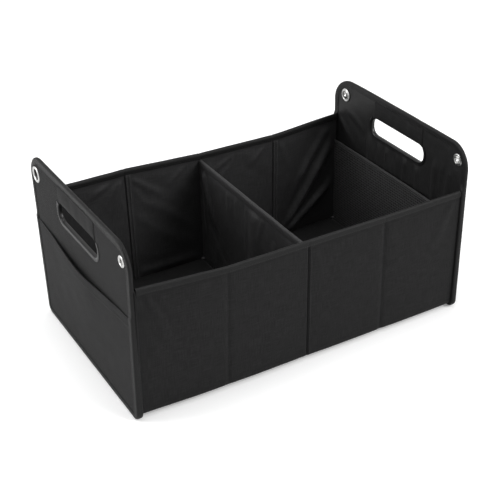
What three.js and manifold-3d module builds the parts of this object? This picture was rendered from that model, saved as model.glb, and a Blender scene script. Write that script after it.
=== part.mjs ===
// Folding car boot organizer, opened up and standing on its end panels.
// Millimetres. X runs along the box from the left end to the right end, Y from the front wall to the back
// wall, Z up from the ground. The origin is the middle of the footprint, on the ground.
import * as THREE from 'three';
import { mergeVertices } from 'three/addons/utils/BufferGeometryUtils.js';
import Module from 'manifold-3d';

// Driving sizes of the box
const BODY_LENGTH = 500; // between the two end seams
const BODY_DEPTH = 303; // outside of the front wall to outside of the back wall
const RIM_HEIGHT = 197; // top of the long walls
const FLOOR_LIFT = 7.5; // underside of the floor

// Driving sizes of the end panels
const PANEL_HEIGHT = 262;
const PANEL_OVERHANG = 5; // how far the end panel stands out past each long wall
const PANEL_TOP_RADIUS = 36;
const PANEL_FOOT_RADIUS = 12;

// Materials by thickness
const SHELL_CLOTH = 1.2;
const LINING_CLOTH = 0.9;
const TAPE = 1;
const END_BOARD = 2.5;
const WALL_BOARD = 2;
const FLOOR_BOARD = 2.5;
const DIVIDER_BOARD = 2;

// Tapes
const END_TAPE_WIDTH = 9;
const RIM_TAPE_WIDTH = 9;
const SLOT_TAPE_WIDTH = 5.5;

// Handle slot and the wrap on the bar above it
const SLOT_LENGTH = 125;
const SLOT_HEIGHT = 27.5;
const SLOT_DEPTH = 36; // top of the panel down to the top of the slot
const SLOT_RADIUS = 12;
const GRIP_LENGTH = 117;

// Eyelets
const EYELET_INSET = 21; // from the panel's side edge to the centre
const EYELET_DROP = 24.5; // from the panel's top edge to the centre
const EYELET_FLANGE_RADIUS = 8;
const EYELET_BORE_RADIUS = 4;
const EYELET_SHEET = 0.7;
const EYELET_CROWN = 1.3; // height of the rolled flange over the cloth
const WASHER_SHEET = 0.8;

// Folds in the long walls, as shares of the length
const WALL_FOLDS = [0.25, 0.5, 0.75];
const FOLD_GROOVE = 0.5; // depth of the crease pressed into the cloth
const FOLD_GROOVE_WIDTH = 2.4;
const FOLD_GAP = 3; // between two boards at a fold

// Divider
const DIVIDER_PLACE = 0; // from the middle of the box
const DIVIDER_DROP = 13; // below the rim

// Mesh pocket inside the right end
const MESH_TOP = 156;
const MESH_CLOTH = 1;
const MESH_STANDOFF = 5.6; // clear space behind the mesh
const MESH_TAPE_WIDTH = 7;
const MESH_TAPE = 0.8;
const MESH_COLUMNS = 15;
const MESH_ROWS = 8;
const MESH_STRAND = 3.4;
const MESH_SELVEDGE = 6; // unbroken border of the net

// Slip pocket outside the left end
const POCKET_TOP = 160;
const POCKET_CLOTH = 1.2;
const POCKET_BULGE = 7;
const POCKET_FOOT = 3; // lower edge above the ground
const POCKET_HEM = 14;
const POCKET_HEM_STEP = 0.6; // extra thickness of the doubled hem

const CLEARANCE = 0.2; // between pieces that slide or are pressed together
const ARC_STEPS = 5; // an outline's quarter turn has twice as many straight steps
const ROUND_STEPS = 20; // sides of an eyelet

// Places that follow from the sizes, measured outwards from the middle of the box
const seamFace = BODY_LENGTH / 2;
const wallFlangeFace = seamFace + TAPE;
const liningFlangeFace = wallFlangeFace + SHELL_CLOTH;
const panelInner = liningFlangeFace + LINING_CLOTH;
const boardInner = panelInner + LINING_CLOTH;
const boardOuter = boardInner + END_BOARD;
const panelOuter = boardOuter + SHELL_CLOTH;
const tapeOuter = panelOuter + TAPE;

const wallOuter = BODY_DEPTH / 2;
const wallBoardOuter = wallOuter - SHELL_CLOTH;
const wallBoardInner = wallBoardOuter - WALL_BOARD;
const wallInner = wallBoardInner - LINING_CLOTH;
const panelHalf = wallOuter + PANEL_OVERHANG;

const floorBoardBottom = FLOOR_LIFT + SHELL_CLOTH;
const floorBoardTop = floorBoardBottom + FLOOR_BOARD;
const floorTop = floorBoardTop + LINING_CLOTH;
const wallTop = RIM_HEIGHT - TAPE;

const slotTop = PANEL_HEIGHT - SLOT_DEPTH;
const slotMiddle = slotTop - SLOT_HEIGHT / 2;
const eyeletY = panelHalf - EYELET_INSET;
const eyeletZ = PANEL_HEIGHT - EYELET_DROP;
const eyeletBarrelRadius = EYELET_BORE_RADIUS + EYELET_SHEET;

const wasm = await Module();
wasm.setup();

// A closed three.js geometry as a solid for joining and cutting
function toSolid(geometry) {
  const bare = geometry.clone();
  bare.deleteAttribute('normal');
  bare.deleteAttribute('uv');
  const merged = mergeVertices(bare, 1e-4);
  const mesh = new wasm.Mesh({
    numProp: 3,
    vertProperties: new Float32Array(merged.attributes.position.array),
    triVerts: new Uint32Array(merged.index.array),
  });
  return new wasm.Manifold(mesh);
}

function toGeometry(solid) {
  const mesh = solid.getMesh();
  const geometry = new THREE.BufferGeometry();
  geometry.setAttribute('position', new THREE.BufferAttribute(new Float32Array(mesh.vertProperties), 3));
  geometry.setIndex(new THREE.BufferAttribute(new Uint32Array(mesh.triVerts), 1));
  const flat = geometry.toNonIndexed();
  flat.computeVertexNormals();
  return flat;
}

function joined(first, ...others) {
  return others.reduce((solid, other) => solid.add(other), first);
}

function cut(first, ...others) {
  return others.reduce((solid, other) => solid.subtract(other), first);
}

// A block between two corners
function block(low, high) {
  const size = high.map((value, axis) => value - low[axis]);
  const geometry = new THREE.BoxGeometry(...size);
  geometry.translate(...low.map((value, axis) => value + size[axis] / 2));
  return toSolid(geometry);
}

// An outline in the panel's own plane, extruded along X between two planes.
// The outline's first axis is Y and its second is Z.
function extrudeAlongX(shape, from, to) {
  const geometry = new THREE.ExtrudeGeometry(shape, {
    depth: to - from,
    bevelEnabled: false,
    curveSegments: ARC_STEPS,
  });
  const axes = new THREE.Matrix4().makeBasis(
    new THREE.Vector3(0, 1, 0),
    new THREE.Vector3(0, 0, 1),
    new THREE.Vector3(1, 0, 0),
  );
  geometry.applyMatrix4(axes);
  geometry.translate(from, 0, 0);
  return toSolid(geometry);
}

// A plan outline in X and Y, extruded upwards between two heights
function extrudeUp(points, from, to) {
  const shape = new THREE.Shape(points.map(([x, y]) => new THREE.Vector2(x, y)));
  const geometry = new THREE.ExtrudeGeometry(shape, { depth: to - from, bevelEnabled: false });
  geometry.translate(0, 0, from);
  return toSolid(geometry);
}

// A section in X and Z, extruded along Y between two planes
function extrudeAlongY(points, from, to) {
  const shape = new THREE.Shape(points.map(([x, z]) => new THREE.Vector2(x, z)));
  const geometry = new THREE.ExtrudeGeometry(shape, { depth: to - from, bevelEnabled: false });
  const axes = new THREE.Matrix4().makeBasis(
    new THREE.Vector3(1, 0, 0),
    new THREE.Vector3(0, 0, 1),
    new THREE.Vector3(0, -1, 0),
  );
  geometry.applyMatrix4(axes);
  geometry.translate(0, to, 0);
  return toSolid(geometry);
}

// A rectangle with its own radius on the lower and on the upper corners
function roundedOutline(left, bottom, right, top, footRadius, topRadius) {
  const shape = new THREE.Shape();
  shape.moveTo(left + footRadius, bottom);
  shape.lineTo(right - footRadius, bottom);
  shape.absarc(right - footRadius, bottom + footRadius, footRadius, -Math.PI / 2, 0, false);
  shape.lineTo(right, top - topRadius);
  shape.absarc(right - topRadius, top - topRadius, topRadius, 0, Math.PI / 2, false);
  shape.lineTo(left + topRadius, top);
  shape.absarc(left + topRadius, top - topRadius, topRadius, Math.PI / 2, Math.PI, false);
  shape.lineTo(left, bottom + footRadius);
  shape.absarc(left + footRadius, bottom + footRadius, footRadius, Math.PI, 1.5 * Math.PI, false);
  return shape;
}

// The end panel's outline, drawn in from its edge by a distance
function panelOutline(inset) {
  return roundedOutline(
    -panelHalf + inset,
    inset,
    panelHalf - inset,
    PANEL_HEIGHT - inset,
    Math.max(PANEL_FOOT_RADIUS - inset, TAPE),
    PANEL_TOP_RADIUS - inset,
  );
}

// The handle slot's outline, let out from the finished opening by a distance
function slotOutline(outset) {
  return roundedOutline(
    -SLOT_LENGTH / 2 - outset,
    slotTop - SLOT_HEIGHT - outset,
    SLOT_LENGTH / 2 + outset,
    slotTop + outset,
    SLOT_RADIUS + outset,
    SLOT_RADIUS + outset,
  );
}

// A closed profile of radius and height turned about X at an eyelet's place
function turnedAtEyelet(profile, side) {
  const points = profile.map(([radius, height]) => new THREE.Vector2(radius, height));
  const geometry = new THREE.LatheGeometry(points, ROUND_STEPS);
  geometry.rotateZ(-Math.PI / 2);
  geometry.translate(0, side * eyeletY, eyeletZ);
  return toSolid(geometry);
}

function eyeletHole(side, radius) {
  const geometry = new THREE.CylinderGeometry(radius, radius, tapeOuter - seamFace, ROUND_STEPS);
  geometry.rotateZ(Math.PI / 2);
  geometry.translate((tapeOuter + seamFace) / 2, side * eyeletY, eyeletZ);
  return toSolid(geometry);
}

// Materials
function cloth(name, color, roughness) {
  return new THREE.MeshStandardMaterial({ name, color, roughness, metalness: 0 });
}

const shellMaterial = cloth('outer_fabric', 0x1b1b1c, 0.85);
const liningMaterial = cloth('lining_fabric', 0x111112, 0.55);
const tapeMaterial = cloth('binding_tape', 0x161617, 0.8);
const meshMaterial = cloth('mesh_fabric', 0x1a1a1b, 0.7);
const boardMaterial = cloth('stiffener_board', 0x6f6659, 0.9);
const eyeletMaterial = new THREE.MeshStandardMaterial({
  name: 'eyelet_metal',
  color: 0xc9cacc,
  roughness: 0.25,
  metalness: 1,
});

const organizer = new THREE.Group();

function addPiece(name, solid, material) {
  const mesh = new THREE.Mesh(toGeometry(solid), material);
  mesh.name = name;
  organizer.add(mesh);
}

// The right end is modelled at positive X, and the left end is its mirror image
function addEndPiece(end, name, solid, material) {
  addPiece(`${end}_${name}`, end === 'left' ? solid.mirror([1, 0, 0]) : solid, material);
}

// A layer of the end panel with its slot and eyelet holes cut
function panelLayer(from, to, inset) {
  const holeRadius = eyeletBarrelRadius + CLEARANCE;
  return cut(
    extrudeAlongX(panelOutline(inset), from, to),
    extrudeAlongX(slotOutline(TAPE), from - TAPE, to + TAPE),
    eyeletHole(-1, holeRadius),
    eyeletHole(1, holeRadius),
  );
}

// The space that the box itself takes between the end panels, below the rim
function bodySpace() {
  return block(
    [0, -wallOuter, FLOOR_LIFT],
    [panelInner, wallOuter, PANEL_HEIGHT],
  );
}

// Tape folded round the whole edge of the panel: one leg on the outer face, one on the inner face above
// the rim, and below the rim a wider fold that also takes in the turned ends of the walls and floor.
// The pocket adds its own thickness under the outer leg.
function endBinding(pocketLayer) {
  const wide = panelOutline(0);
  const outerLeg = cut(
    extrudeAlongX(wide, panelOuter, tapeOuter),
    extrudeAlongX(panelOutline(END_TAPE_WIDTH), panelOuter - TAPE, tapeOuter + TAPE),
  );
  const innerLeg = cut(
    extrudeAlongX(wide, panelInner - TAPE, panelInner),
    extrudeAlongX(panelOutline(END_TAPE_WIDTH), seamFace, panelInner + TAPE),
    block([0, -panelHalf - TAPE, -TAPE], [tapeOuter, panelHalf + TAPE, RIM_HEIGHT]),
  );
  const edge = cut(
    extrudeAlongX(wide, seamFace, tapeOuter),
    extrudeAlongX(panelOutline(TAPE), seamFace - TAPE, tapeOuter + TAPE),
    block([0, -panelHalf - TAPE, RIM_HEIGHT], [panelInner - TAPE, panelHalf + TAPE, PANEL_HEIGHT + TAPE]),
  );
  const seamLeg = cut(
    extrudeAlongX(wide, seamFace, wallFlangeFace),
    bodySpace(),
    block([0, -panelHalf - TAPE, RIM_HEIGHT], [tapeOuter, panelHalf + TAPE, PANEL_HEIGHT + TAPE]),
  );
  const tape = joined(outerLeg, innerLeg, edge, seamLeg);
  if (!pocketLayer) {
    return tape;
  }
  const raised = cut(
    extrudeAlongX(wide, panelOuter, tapeOuter + POCKET_CLOTH),
    extrudeAlongX(panelOutline(END_TAPE_WIDTH), panelOuter - TAPE, tapeOuter + POCKET_CLOTH + TAPE),
    block([0, -panelHalf - TAPE, POCKET_TOP + TAPE], [2 * tapeOuter, panelHalf + TAPE, PANEL_HEIGHT + TAPE]),
  );
  const pocketRoom = cut(
    extrudeAlongX(panelOutline(TAPE), panelOuter, panelOuter + POCKET_CLOTH),
    block([0, -panelHalf, POCKET_TOP], [2 * tapeOuter, panelHalf, PANEL_HEIGHT]),
  );
  return joined(tape, raised).subtract(pocketRoom);
}

// The space of the finished panel between its two cloth faces, open at the slot
function panelCore() {
  return cut(
    extrudeAlongX(panelOutline(0), panelInner, panelOuter),
    extrudeAlongX(slotOutline(TAPE), panelInner - TAPE, panelOuter + TAPE),
  );
}

function slotOpening() {
  return extrudeAlongX(slotOutline(0), seamFace - TAPE, tapeOuter + TAPE);
}

// A band across the panel, above the middle of the slot and up to the edge tape
function gripBand(halfLength) {
  return block(
    [panelInner - TAPE, -halfLength, slotMiddle],
    [tapeOuter, halfLength, PANEL_HEIGHT - END_TAPE_WIDTH],
  );
}

// Tape folded round the slot, left out along the bar that the grip wrap covers
function slotEdging() {
  const rim = extrudeAlongX(slotOutline(SLOT_TAPE_WIDTH), panelInner - TAPE, tapeOuter);
  return cut(rim, panelCore(), slotOpening(), gripBand(GRIP_LENGTH / 2 + CLEARANCE));
}

// Cloth folded under the bar above the slot, up to the edge tape on both faces
function gripWrap() {
  return cut(gripBand(GRIP_LENGTH / 2), panelCore(), slotOpening());
}

// A flanged eyelet pressed in from the outer face, its barrel rolled over the washer on the inner face
function eyelet(side) {
  const seat = panelOuter + CLEARANCE;
  const rollSeat = panelInner - WASHER_SHEET - 2 * CLEARANCE;
  const rollEnd = rollSeat - EYELET_SHEET;
  const rollRadius = eyeletBarrelRadius + 2 * EYELET_SHEET;
  const crown = seat + EYELET_CROWN;
  const lip = EYELET_FLANGE_RADIUS - EYELET_SHEET;
  const profile = [
    [EYELET_BORE_RADIUS, rollSeat],
    [eyeletBarrelRadius, rollEnd],
    [rollRadius, rollSeat - EYELET_SHEET / 2],
    [rollRadius, rollSeat],
    [eyeletBarrelRadius, rollSeat],
    [eyeletBarrelRadius, seat],
    [EYELET_FLANGE_RADIUS, seat],
    [lip, crown - EYELET_SHEET / 2],
    [(lip + eyeletBarrelRadius) / 2, crown],
    [eyeletBarrelRadius, crown - EYELET_SHEET / 2],
    [EYELET_BORE_RADIUS, seat],
    [EYELET_BORE_RADIUS, rollSeat],
  ];
  return turnedAtEyelet(profile, side);
}

// The dished washer that the eyelet's barrel is clinched over
function washer(side) {
  const seat = panelInner - CLEARANCE;
  const hole = eyeletBarrelRadius + CLEARANCE;
  const profile = [
    [hole, seat - WASHER_SHEET],
    [hole, seat],
    [EYELET_FLANGE_RADIUS, seat],
    [EYELET_FLANGE_RADIUS - EYELET_SHEET, seat - WASHER_SHEET],
    [hole, seat - WASHER_SHEET],
  ];
  return turnedAtEyelet(profile.reverse(), side);
}

function addEnd(end) {
  const hasPocket = end === 'left';
  addEndPiece(end, 'end_fabric', panelLayer(boardOuter, panelOuter, TAPE), shellMaterial);
  addEndPiece(end, 'end_board', panelLayer(boardInner, boardOuter, TAPE + CLEARANCE), boardMaterial);
  addEndPiece(end, 'end_lining', panelLayer(panelInner, boardInner, TAPE), liningMaterial);
  addEndPiece(end, 'end_binding', endBinding(hasPocket), tapeMaterial);
  addEndPiece(end, 'slot_edging', slotEdging(), tapeMaterial);
  addEndPiece(end, 'grip_wrap', gripWrap(), shellMaterial);
  for (const [place, side] of [['front', -1], ['back', 1]]) {
    addEndPiece(end, `${place}_eyelet`, eyelet(side), eyeletMaterial);
    addEndPiece(end, `${place}_washer`, washer(side), eyeletMaterial);
  }
}

const foldPlaces = WALL_FOLDS.map((share) => (share - 0.5) * BODY_LENGTH);

// One face of a wall in plan, from left to right, with a shallow V pressed in at each fold
function creasedLine(face, depth) {
  const line = [];
  for (const place of foldPlaces) {
    line.push([place - FOLD_GROOVE_WIDTH / 2, face]);
    line.push([place, face + depth]);
    line.push([place + FOLD_GROOVE_WIDTH / 2, face]);
  }
  return line;
}

// A wall sheet in plan for the front wall: a long straight run with both ends turned outwards.
// The run lies between two planes, and the turned ends reach out into the end seam.
function turnedSheet(outer, inner, flangeInner, flangeOuter, creaseOutside) {
  const tip = -panelHalf + TAPE;
  const outerLine = creasedLine(-outer, creaseOutside ? FOLD_GROOVE : 0);
  const innerLine = creasedLine(-inner, creaseOutside ? 0 : -FOLD_GROOVE).reverse();
  return [
    [-flangeOuter, tip],
    [-flangeInner, tip],
    [-flangeInner, -outer],
    ...outerLine,
    [flangeInner, -outer],
    [flangeInner, tip],
    [flangeOuter, tip],
    [flangeOuter, -inner],
    ...innerLine,
    [-flangeOuter, -inner],
  ];
}

// Cloth that ends in the seams at the two ends of the box, trimmed to run inside the edge tape
function trimmedToSeams(solid) {
  return solid.intersect(extrudeAlongX(panelOutline(TAPE + CLEARANCE), -tapeOuter, tapeOuter));
}

function addWallPiece(wall, name, solid, material) {
  addPiece(`${wall}_${name}`, wall === 'back' ? solid.mirror([0, 1, 0]) : solid, material);
}

function rimBinding() {
  const tape = block(
    [-seamFace, -wallOuter - TAPE, RIM_HEIGHT - RIM_TAPE_WIDTH],
    [seamFace, -wallInner + TAPE, RIM_HEIGHT],
  );
  const wallRoom = block(
    [-seamFace - TAPE, -wallOuter, 0],
    [seamFace + TAPE, -wallInner, wallTop],
  );
  return tape.subtract(wallRoom);
}

function addWall(wall) {
  const outside = turnedSheet(wallOuter, wallBoardOuter, wallFlangeFace, liningFlangeFace, true);
  const inside = turnedSheet(wallBoardInner, wallInner, liningFlangeFace, panelInner, false);
  const fabric = trimmedToSeams(extrudeUp(outside, FLOOR_LIFT, wallTop));
  const lining = trimmedToSeams(extrudeUp(inside, floorTop, wallTop));
  addWallPiece(wall, 'wall_fabric', fabric, shellMaterial);
  addWallPiece(wall, 'wall_lining', lining, liningMaterial);
  addWallPiece(wall, 'rim_binding', rimBinding(), tapeMaterial);
  const edges = [-seamFace, ...foldPlaces, seamFace];
  for (let index = 0; index + 1 < edges.length; index += 1) {
    const board = block(
      [edges[index] + FOLD_GAP / 2, -wallBoardOuter, floorTop],
      [edges[index + 1] - FOLD_GAP / 2, -wallBoardInner, wallTop],
    );
    addWallPiece(wall, `wall_board_${index + 1}`, board, boardMaterial);
  }
}

// A floor sheet in section: a flat run with both ends turned down into the end seam
function turnedFloor(bottom, top, flangeInner, flangeOuter) {
  return [
    [-flangeOuter, TAPE],
    [-flangeInner, TAPE],
    [-flangeInner, bottom],
    [flangeInner, bottom],
    [flangeInner, TAPE],
    [flangeOuter, TAPE],
    [flangeOuter, top],
    [-flangeOuter, top],
  ];
}

function addFloor() {
  const under = turnedFloor(FLOOR_LIFT, floorBoardBottom, wallFlangeFace, liningFlangeFace);
  const over = turnedFloor(floorBoardTop, floorTop, liningFlangeFace, panelInner);
  const fabric = trimmedToSeams(extrudeAlongY(under, -wallBoardOuter, wallBoardOuter));
  const lining = trimmedToSeams(extrudeAlongY(over, -wallBoardOuter, wallBoardOuter));
  addPiece('floor_fabric', fabric, shellMaterial);
  addPiece('floor_lining', lining, liningMaterial);
  const reach = wallBoardOuter - CLEARANCE;
  const boards = [
    ['left', -seamFace, DIVIDER_PLACE - FOLD_GAP / 2],
    ['right', DIVIDER_PLACE + FOLD_GAP / 2, seamFace],
  ];
  for (const [side, from, to] of boards) {
    const board = block([from, -reach, floorBoardBottom], [to, reach, floorBoardTop]);
    addPiece(`${side}_floor_board`, board, boardMaterial);
  }
}

function addDivider() {
  const top = RIM_HEIGHT - DIVIDER_DROP;
  const half = DIVIDER_BOARD / 2;
  const cover = block(
    [DIVIDER_PLACE - half - LINING_CLOTH, -wallInner, floorTop],
    [DIVIDER_PLACE + half + LINING_CLOTH, wallInner, top],
  );
  const room = block(
    [DIVIDER_PLACE - half, -wallInner - TAPE, floorTop - TAPE],
    [DIVIDER_PLACE + half, wallInner + TAPE, top - LINING_CLOTH],
  );
  const board = block(
    [DIVIDER_PLACE - half, -wallInner + CLEARANCE, floorTop + CLEARANCE],
    [DIVIDER_PLACE + half, wallInner - CLEARANCE, top - LINING_CLOTH],
  );
  addPiece('divider_cover', cover.subtract(room), liningMaterial);
  addPiece('divider_board', board, boardMaterial);
}

// A net across the inside of the right end, sewn in at its sides and foot, with tape on its top edge
function addMeshPocket() {
  const back = panelInner - MESH_STANDOFF;
  const front = back - MESH_CLOTH;
  const netTop = MESH_TOP - MESH_TAPE;
  const left = -wallInner + MESH_SELVEDGE;
  const low = floorTop + MESH_SELVEDGE;
  const columnPitch = (2 * wallInner - 2 * MESH_SELVEDGE + MESH_STRAND) / MESH_COLUMNS;
  const rowPitch = (MESH_TOP - MESH_TAPE_WIDTH - low) / MESH_ROWS;
  const gaps = [];
  for (let column = 0; column < MESH_COLUMNS; column += 1) {
    for (let row = 0; row < MESH_ROWS; row += 1) {
      const y = left + column * columnPitch;
      const z = low + row * rowPitch;
      gaps.push(block(
        [front - TAPE, y, z],
        [back + TAPE, y + columnPitch - MESH_STRAND, z + rowPitch - MESH_STRAND],
      ));
    }
  }
  const net = cut(block([front, -wallInner, floorTop], [back, wallInner, netTop]), ...gaps);
  addPiece('mesh_pocket', net, meshMaterial);
  const tape = block(
    [front - MESH_TAPE, -wallInner, MESH_TOP - MESH_TAPE_WIDTH],
    [back + MESH_TAPE, wallInner, MESH_TOP],
  );
  const netRoom = block([front, -wallInner - TAPE, 0], [back, wallInner + TAPE, netTop]);
  addPiece('mesh_pocket_binding', tape.subtract(netRoom), tapeMaterial);
}

// The slip pocket: a sheet caught in the edge tape at its sides and foot, standing off the panel more and
// more towards the middle of its open top edge. The sheet is a grid of points on its inner and outer face.
function pocketSheet() {
  const across = 18;
  const up = 10;
  const sewn = panelHalf - END_TAPE_WIDTH;
  const edge = panelHalf - TAPE;
  const stations = [-edge];
  for (let index = 0; index <= across; index += 1) {
    stations.push(-sewn + (2 * sewn * index) / across);
  }
  stations.push(edge);
  const hemStart = POCKET_TOP - POCKET_HEM;
  const levels = [POCKET_FOOT];
  for (let index = 0; index <= up; index += 1) {
    levels.push(END_TAPE_WIDTH + ((hemStart - END_TAPE_WIDTH) * index) / up);
  }
  levels.push(hemStart + POCKET_HEM_STEP, POCKET_TOP);
  const standOff = (y, z) => {
    const side = Math.min(Math.abs(y) / sewn, 1);
    const rise = THREE.MathUtils.smoothstep(z, END_TAPE_WIDTH, POCKET_TOP);
    return POCKET_BULGE * Math.cos((side * Math.PI) / 2) ** 2 * rise;
  };
  const thickness = (y, z) => {
    const hemmed = z > hemStart && Math.abs(y) < sewn;
    return POCKET_CLOTH + (hemmed ? POCKET_HEM_STEP : 0);
  };
  const positions = [];
  for (const layer of [0, 1]) {
    for (const z of levels) {
      for (const y of stations) {
        positions.push(panelOuter + standOff(y, z) + layer * thickness(y, z), y, z);
      }
    }
  }
  const columns = stations.length;
  const rows = levels.length;
  const point = (layer, row, column) => (layer * rows + row) * columns + column;
  const faces = [];
  const quad = (a, b, c, d) => faces.push(a, b, c, a, c, d);
  for (let row = 0; row + 1 < rows; row += 1) {
    for (let column = 0; column + 1 < columns; column += 1) {
      const corners = [
        [row, column],
        [row, column + 1],
        [row + 1, column + 1],
        [row + 1, column],
      ];
      quad(...corners.map(([r, c]) => point(1, r, c)));
      quad(...corners.reverse().map(([r, c]) => point(0, r, c)));
    }
  }
  for (let column = 0; column + 1 < columns; column += 1) {
    const last = rows - 1;
    quad(point(0, 0, column), point(0, 0, column + 1), point(1, 0, column + 1), point(1, 0, column));
    quad(point(0, last, column + 1), point(0, last, column), point(1, last, column), point(1, last, column + 1));
  }
  for (let row = 0; row + 1 < rows; row += 1) {
    const last = columns - 1;
    quad(point(0, row + 1, 0), point(0, row, 0), point(1, row, 0), point(1, row + 1, 0));
    quad(point(0, row, last), point(0, row + 1, last), point(1, row + 1, last), point(1, row, last));
  }
  const geometry = new THREE.BufferGeometry();
  geometry.setAttribute('position', new THREE.Float32BufferAttribute(positions, 3));
  geometry.setIndex(faces);
  return toSolid(geometry).intersect(extrudeAlongX(panelOutline(TAPE), 0, 2 * tapeOuter));
}

addEnd('left');
addEnd('right');
addWall('front');
addWall('back');
addFloor();
addDivider();
addMeshPocket();
addEndPiece('left', 'outer_pocket', pocketSheet(), shellMaterial);

// The pocket makes the left end deeper, so the box is moved to put the middle of its footprint on the origin
const bounds = new THREE.Box3().setFromObject(organizer);
organizer.position.x = -(bounds.min.x + bounds.max.x) / 2;

export default organizer;
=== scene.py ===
"""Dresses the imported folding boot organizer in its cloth, tapes, stitches, net and eyelets.

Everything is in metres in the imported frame: X runs along the box from the left end to the right end, Y from
the front wall to the back wall, Z up from the ground. Sizes are measured from the middle of the box.
"""

from __future__ import annotations

import logging
import math
from collections.abc import Callable, Iterator, Sequence
from contextlib import contextmanager
from dataclasses import dataclass, field
from enum import Enum

import bpy
import numpy as np
from mathutils import Matrix, Vector

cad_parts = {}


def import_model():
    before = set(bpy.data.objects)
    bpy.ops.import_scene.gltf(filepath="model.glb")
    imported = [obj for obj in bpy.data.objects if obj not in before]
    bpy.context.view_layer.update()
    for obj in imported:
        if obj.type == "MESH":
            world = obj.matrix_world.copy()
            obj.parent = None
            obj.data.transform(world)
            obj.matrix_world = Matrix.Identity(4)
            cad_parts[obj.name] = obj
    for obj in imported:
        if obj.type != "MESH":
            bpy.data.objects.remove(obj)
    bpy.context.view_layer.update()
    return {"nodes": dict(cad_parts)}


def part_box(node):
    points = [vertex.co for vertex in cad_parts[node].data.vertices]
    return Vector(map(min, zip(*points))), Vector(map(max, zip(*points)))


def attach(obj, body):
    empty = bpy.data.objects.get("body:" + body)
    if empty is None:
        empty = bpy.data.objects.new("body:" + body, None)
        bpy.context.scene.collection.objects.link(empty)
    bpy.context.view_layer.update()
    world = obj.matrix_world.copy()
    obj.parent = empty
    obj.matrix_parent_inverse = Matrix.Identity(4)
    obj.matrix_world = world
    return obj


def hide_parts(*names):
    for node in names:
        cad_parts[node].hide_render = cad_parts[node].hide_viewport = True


MM = 0.001
ON_EDGE = 0.05 * MM
THREAD_LIFT = 0.05 * MM
FINE_TURN = (0, 22, 45, 67, 90)
COARSE_TURN = (0, 30, 60, 90)
log = logging.getLogger("organizer")

Place = Callable[[np.ndarray, np.ndarray], np.ndarray]
Offset = tuple[float, float, float]
Seam = tuple[np.ndarray, Offset]


class Side(Enum):
    """The long sides of the box, by the direction of Y that is outwards."""

    FRONT = -1
    BACK = 1


class End(Enum):
    """The ends of the box, by the direction of X that is outwards."""

    LEFT = -1
    RIGHT = 1


class Finish(Enum):
    """The finishes, each by the material slot of the record that it belongs to."""

    SHELL = "outer_fabric"
    LINING = "lining_fabric"
    TAPE = "binding_tape"
    NET = "mesh_fabric"
    BOARD = "stiffener_board"
    METAL = "eyelet_metal"


@dataclass(frozen=True)
class Stance:
    """How the corners of one end stand off their true places, each as out, back and up in millimetres."""

    front_foot: Offset
    front_top: Offset
    back_foot: Offset
    back_top: Offset
    belly: float = 0.0
    half: float = 156.5
    height: float = 262.0

    def offset(self, y: np.ndarray, z: np.ndarray) -> np.ndarray:
        """Blends the corners' offsets over the end.

        Args:
            y: Distance across the box from its middle.
            z: Height.

        Returns:
            Out, back and up in metres at each point.
        """
        back = np.clip(y / MM / self.half / 2 + 0.5, 0, 1)[..., None]
        high = np.clip(z / MM / self.height, 0, 1)[..., None]
        foot = np.array(self.front_foot) * (1 - back) + np.array(self.back_foot) * back
        top = np.array(self.front_top) * (1 - back) + np.array(self.back_top) * back
        bellied = self.belly * np.sqrt(back) * (1 - back**12) * high * np.array((1.0, 0.0, 0.0))
        return (foot + (top - foot) * high + bellied) * MM


@dataclass(frozen=True)
class BoxSizes:
    """Sizes that several pieces share."""

    shift: float
    left: Stance
    right: Stance
    seam_face: float = 250 * MM
    panel_inner: float = 253.1 * MM
    panel_outer: float = 257.7 * MM
    tape: float = 1 * MM
    shell_cloth: float = 1.2 * MM
    stiffener: float = 2.2 * MM
    gap: float = 0.1 * MM
    lining_cloth: float = 0.72 * MM
    wall_outer: float = 151.5 * MM
    wall_inner: float = 147.4 * MM
    wall_board_outer: float = 150.3 * MM
    wall_board: float = 2 * MM
    panel_half: float = 156.5 * MM
    panel_height: float = 262 * MM
    floor_lift: float = 7.5 * MM
    floor_top: float = 12.1 * MM
    floor_board_top: float = 11.2 * MM
    wall_top: float = 193.4 * MM
    rim_height: float = 197 * MM
    board_pitch: float = 125 * MM
    fold_places: tuple[float, ...] = (-125 * MM, 0.0, 125 * MM)

    def points(self, x: np.ndarray, y: np.ndarray, z: np.ndarray) -> np.ndarray:
        """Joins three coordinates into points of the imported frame.

        Args:
            x: Distance along the box from its middle.
            y: Distance across the box from its middle.
            z: Height.

        Returns:
            The points, which go with the stance of the end that they are near.
        """
        place = np.stack(np.broadcast_arrays(x, y, z), axis=-1).astype(float)
        x, y, z = np.moveaxis(place, -1, 0)
        share = smoothstep(125 * MM, 246 * MM, np.abs(x))[..., None]
        left = self.left.offset(y, z) * np.array((-1.0, 1.0, 1.0))
        moved = np.where(x[..., None] > 0, self.right.offset(y, z), left)
        return place + moved * share + np.array((self.shift, 0.0, 0.0))


def smoothstep(low: float, high: float, value: np.ndarray) -> np.ndarray:
    """Rises smoothly from 0 to 1 as value goes from low to high."""
    share = np.clip((value - low) / (high - low), 0.0, 1.0)
    return share * share * (3.0 - 2.0 * share)


def hump(distance: np.ndarray, width: float | np.ndarray) -> np.ndarray:
    """A round hump that is 1 at distance 0."""
    return np.exp(-((distance / width) ** 2))


def lengths(line: np.ndarray) -> np.ndarray:
    """The distance gone at each point of a line."""
    return np.concatenate([[0], np.cumsum(np.linalg.norm(np.diff(line, axis=0), axis=1))])


def along(place: np.ndarray, stations: np.ndarray, table: np.ndarray) -> list[np.ndarray]:
    """Reads each column of a table at these places between its rows, which lie at the stations."""
    return [np.interp(place, stations, column) for column in table.T]


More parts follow.
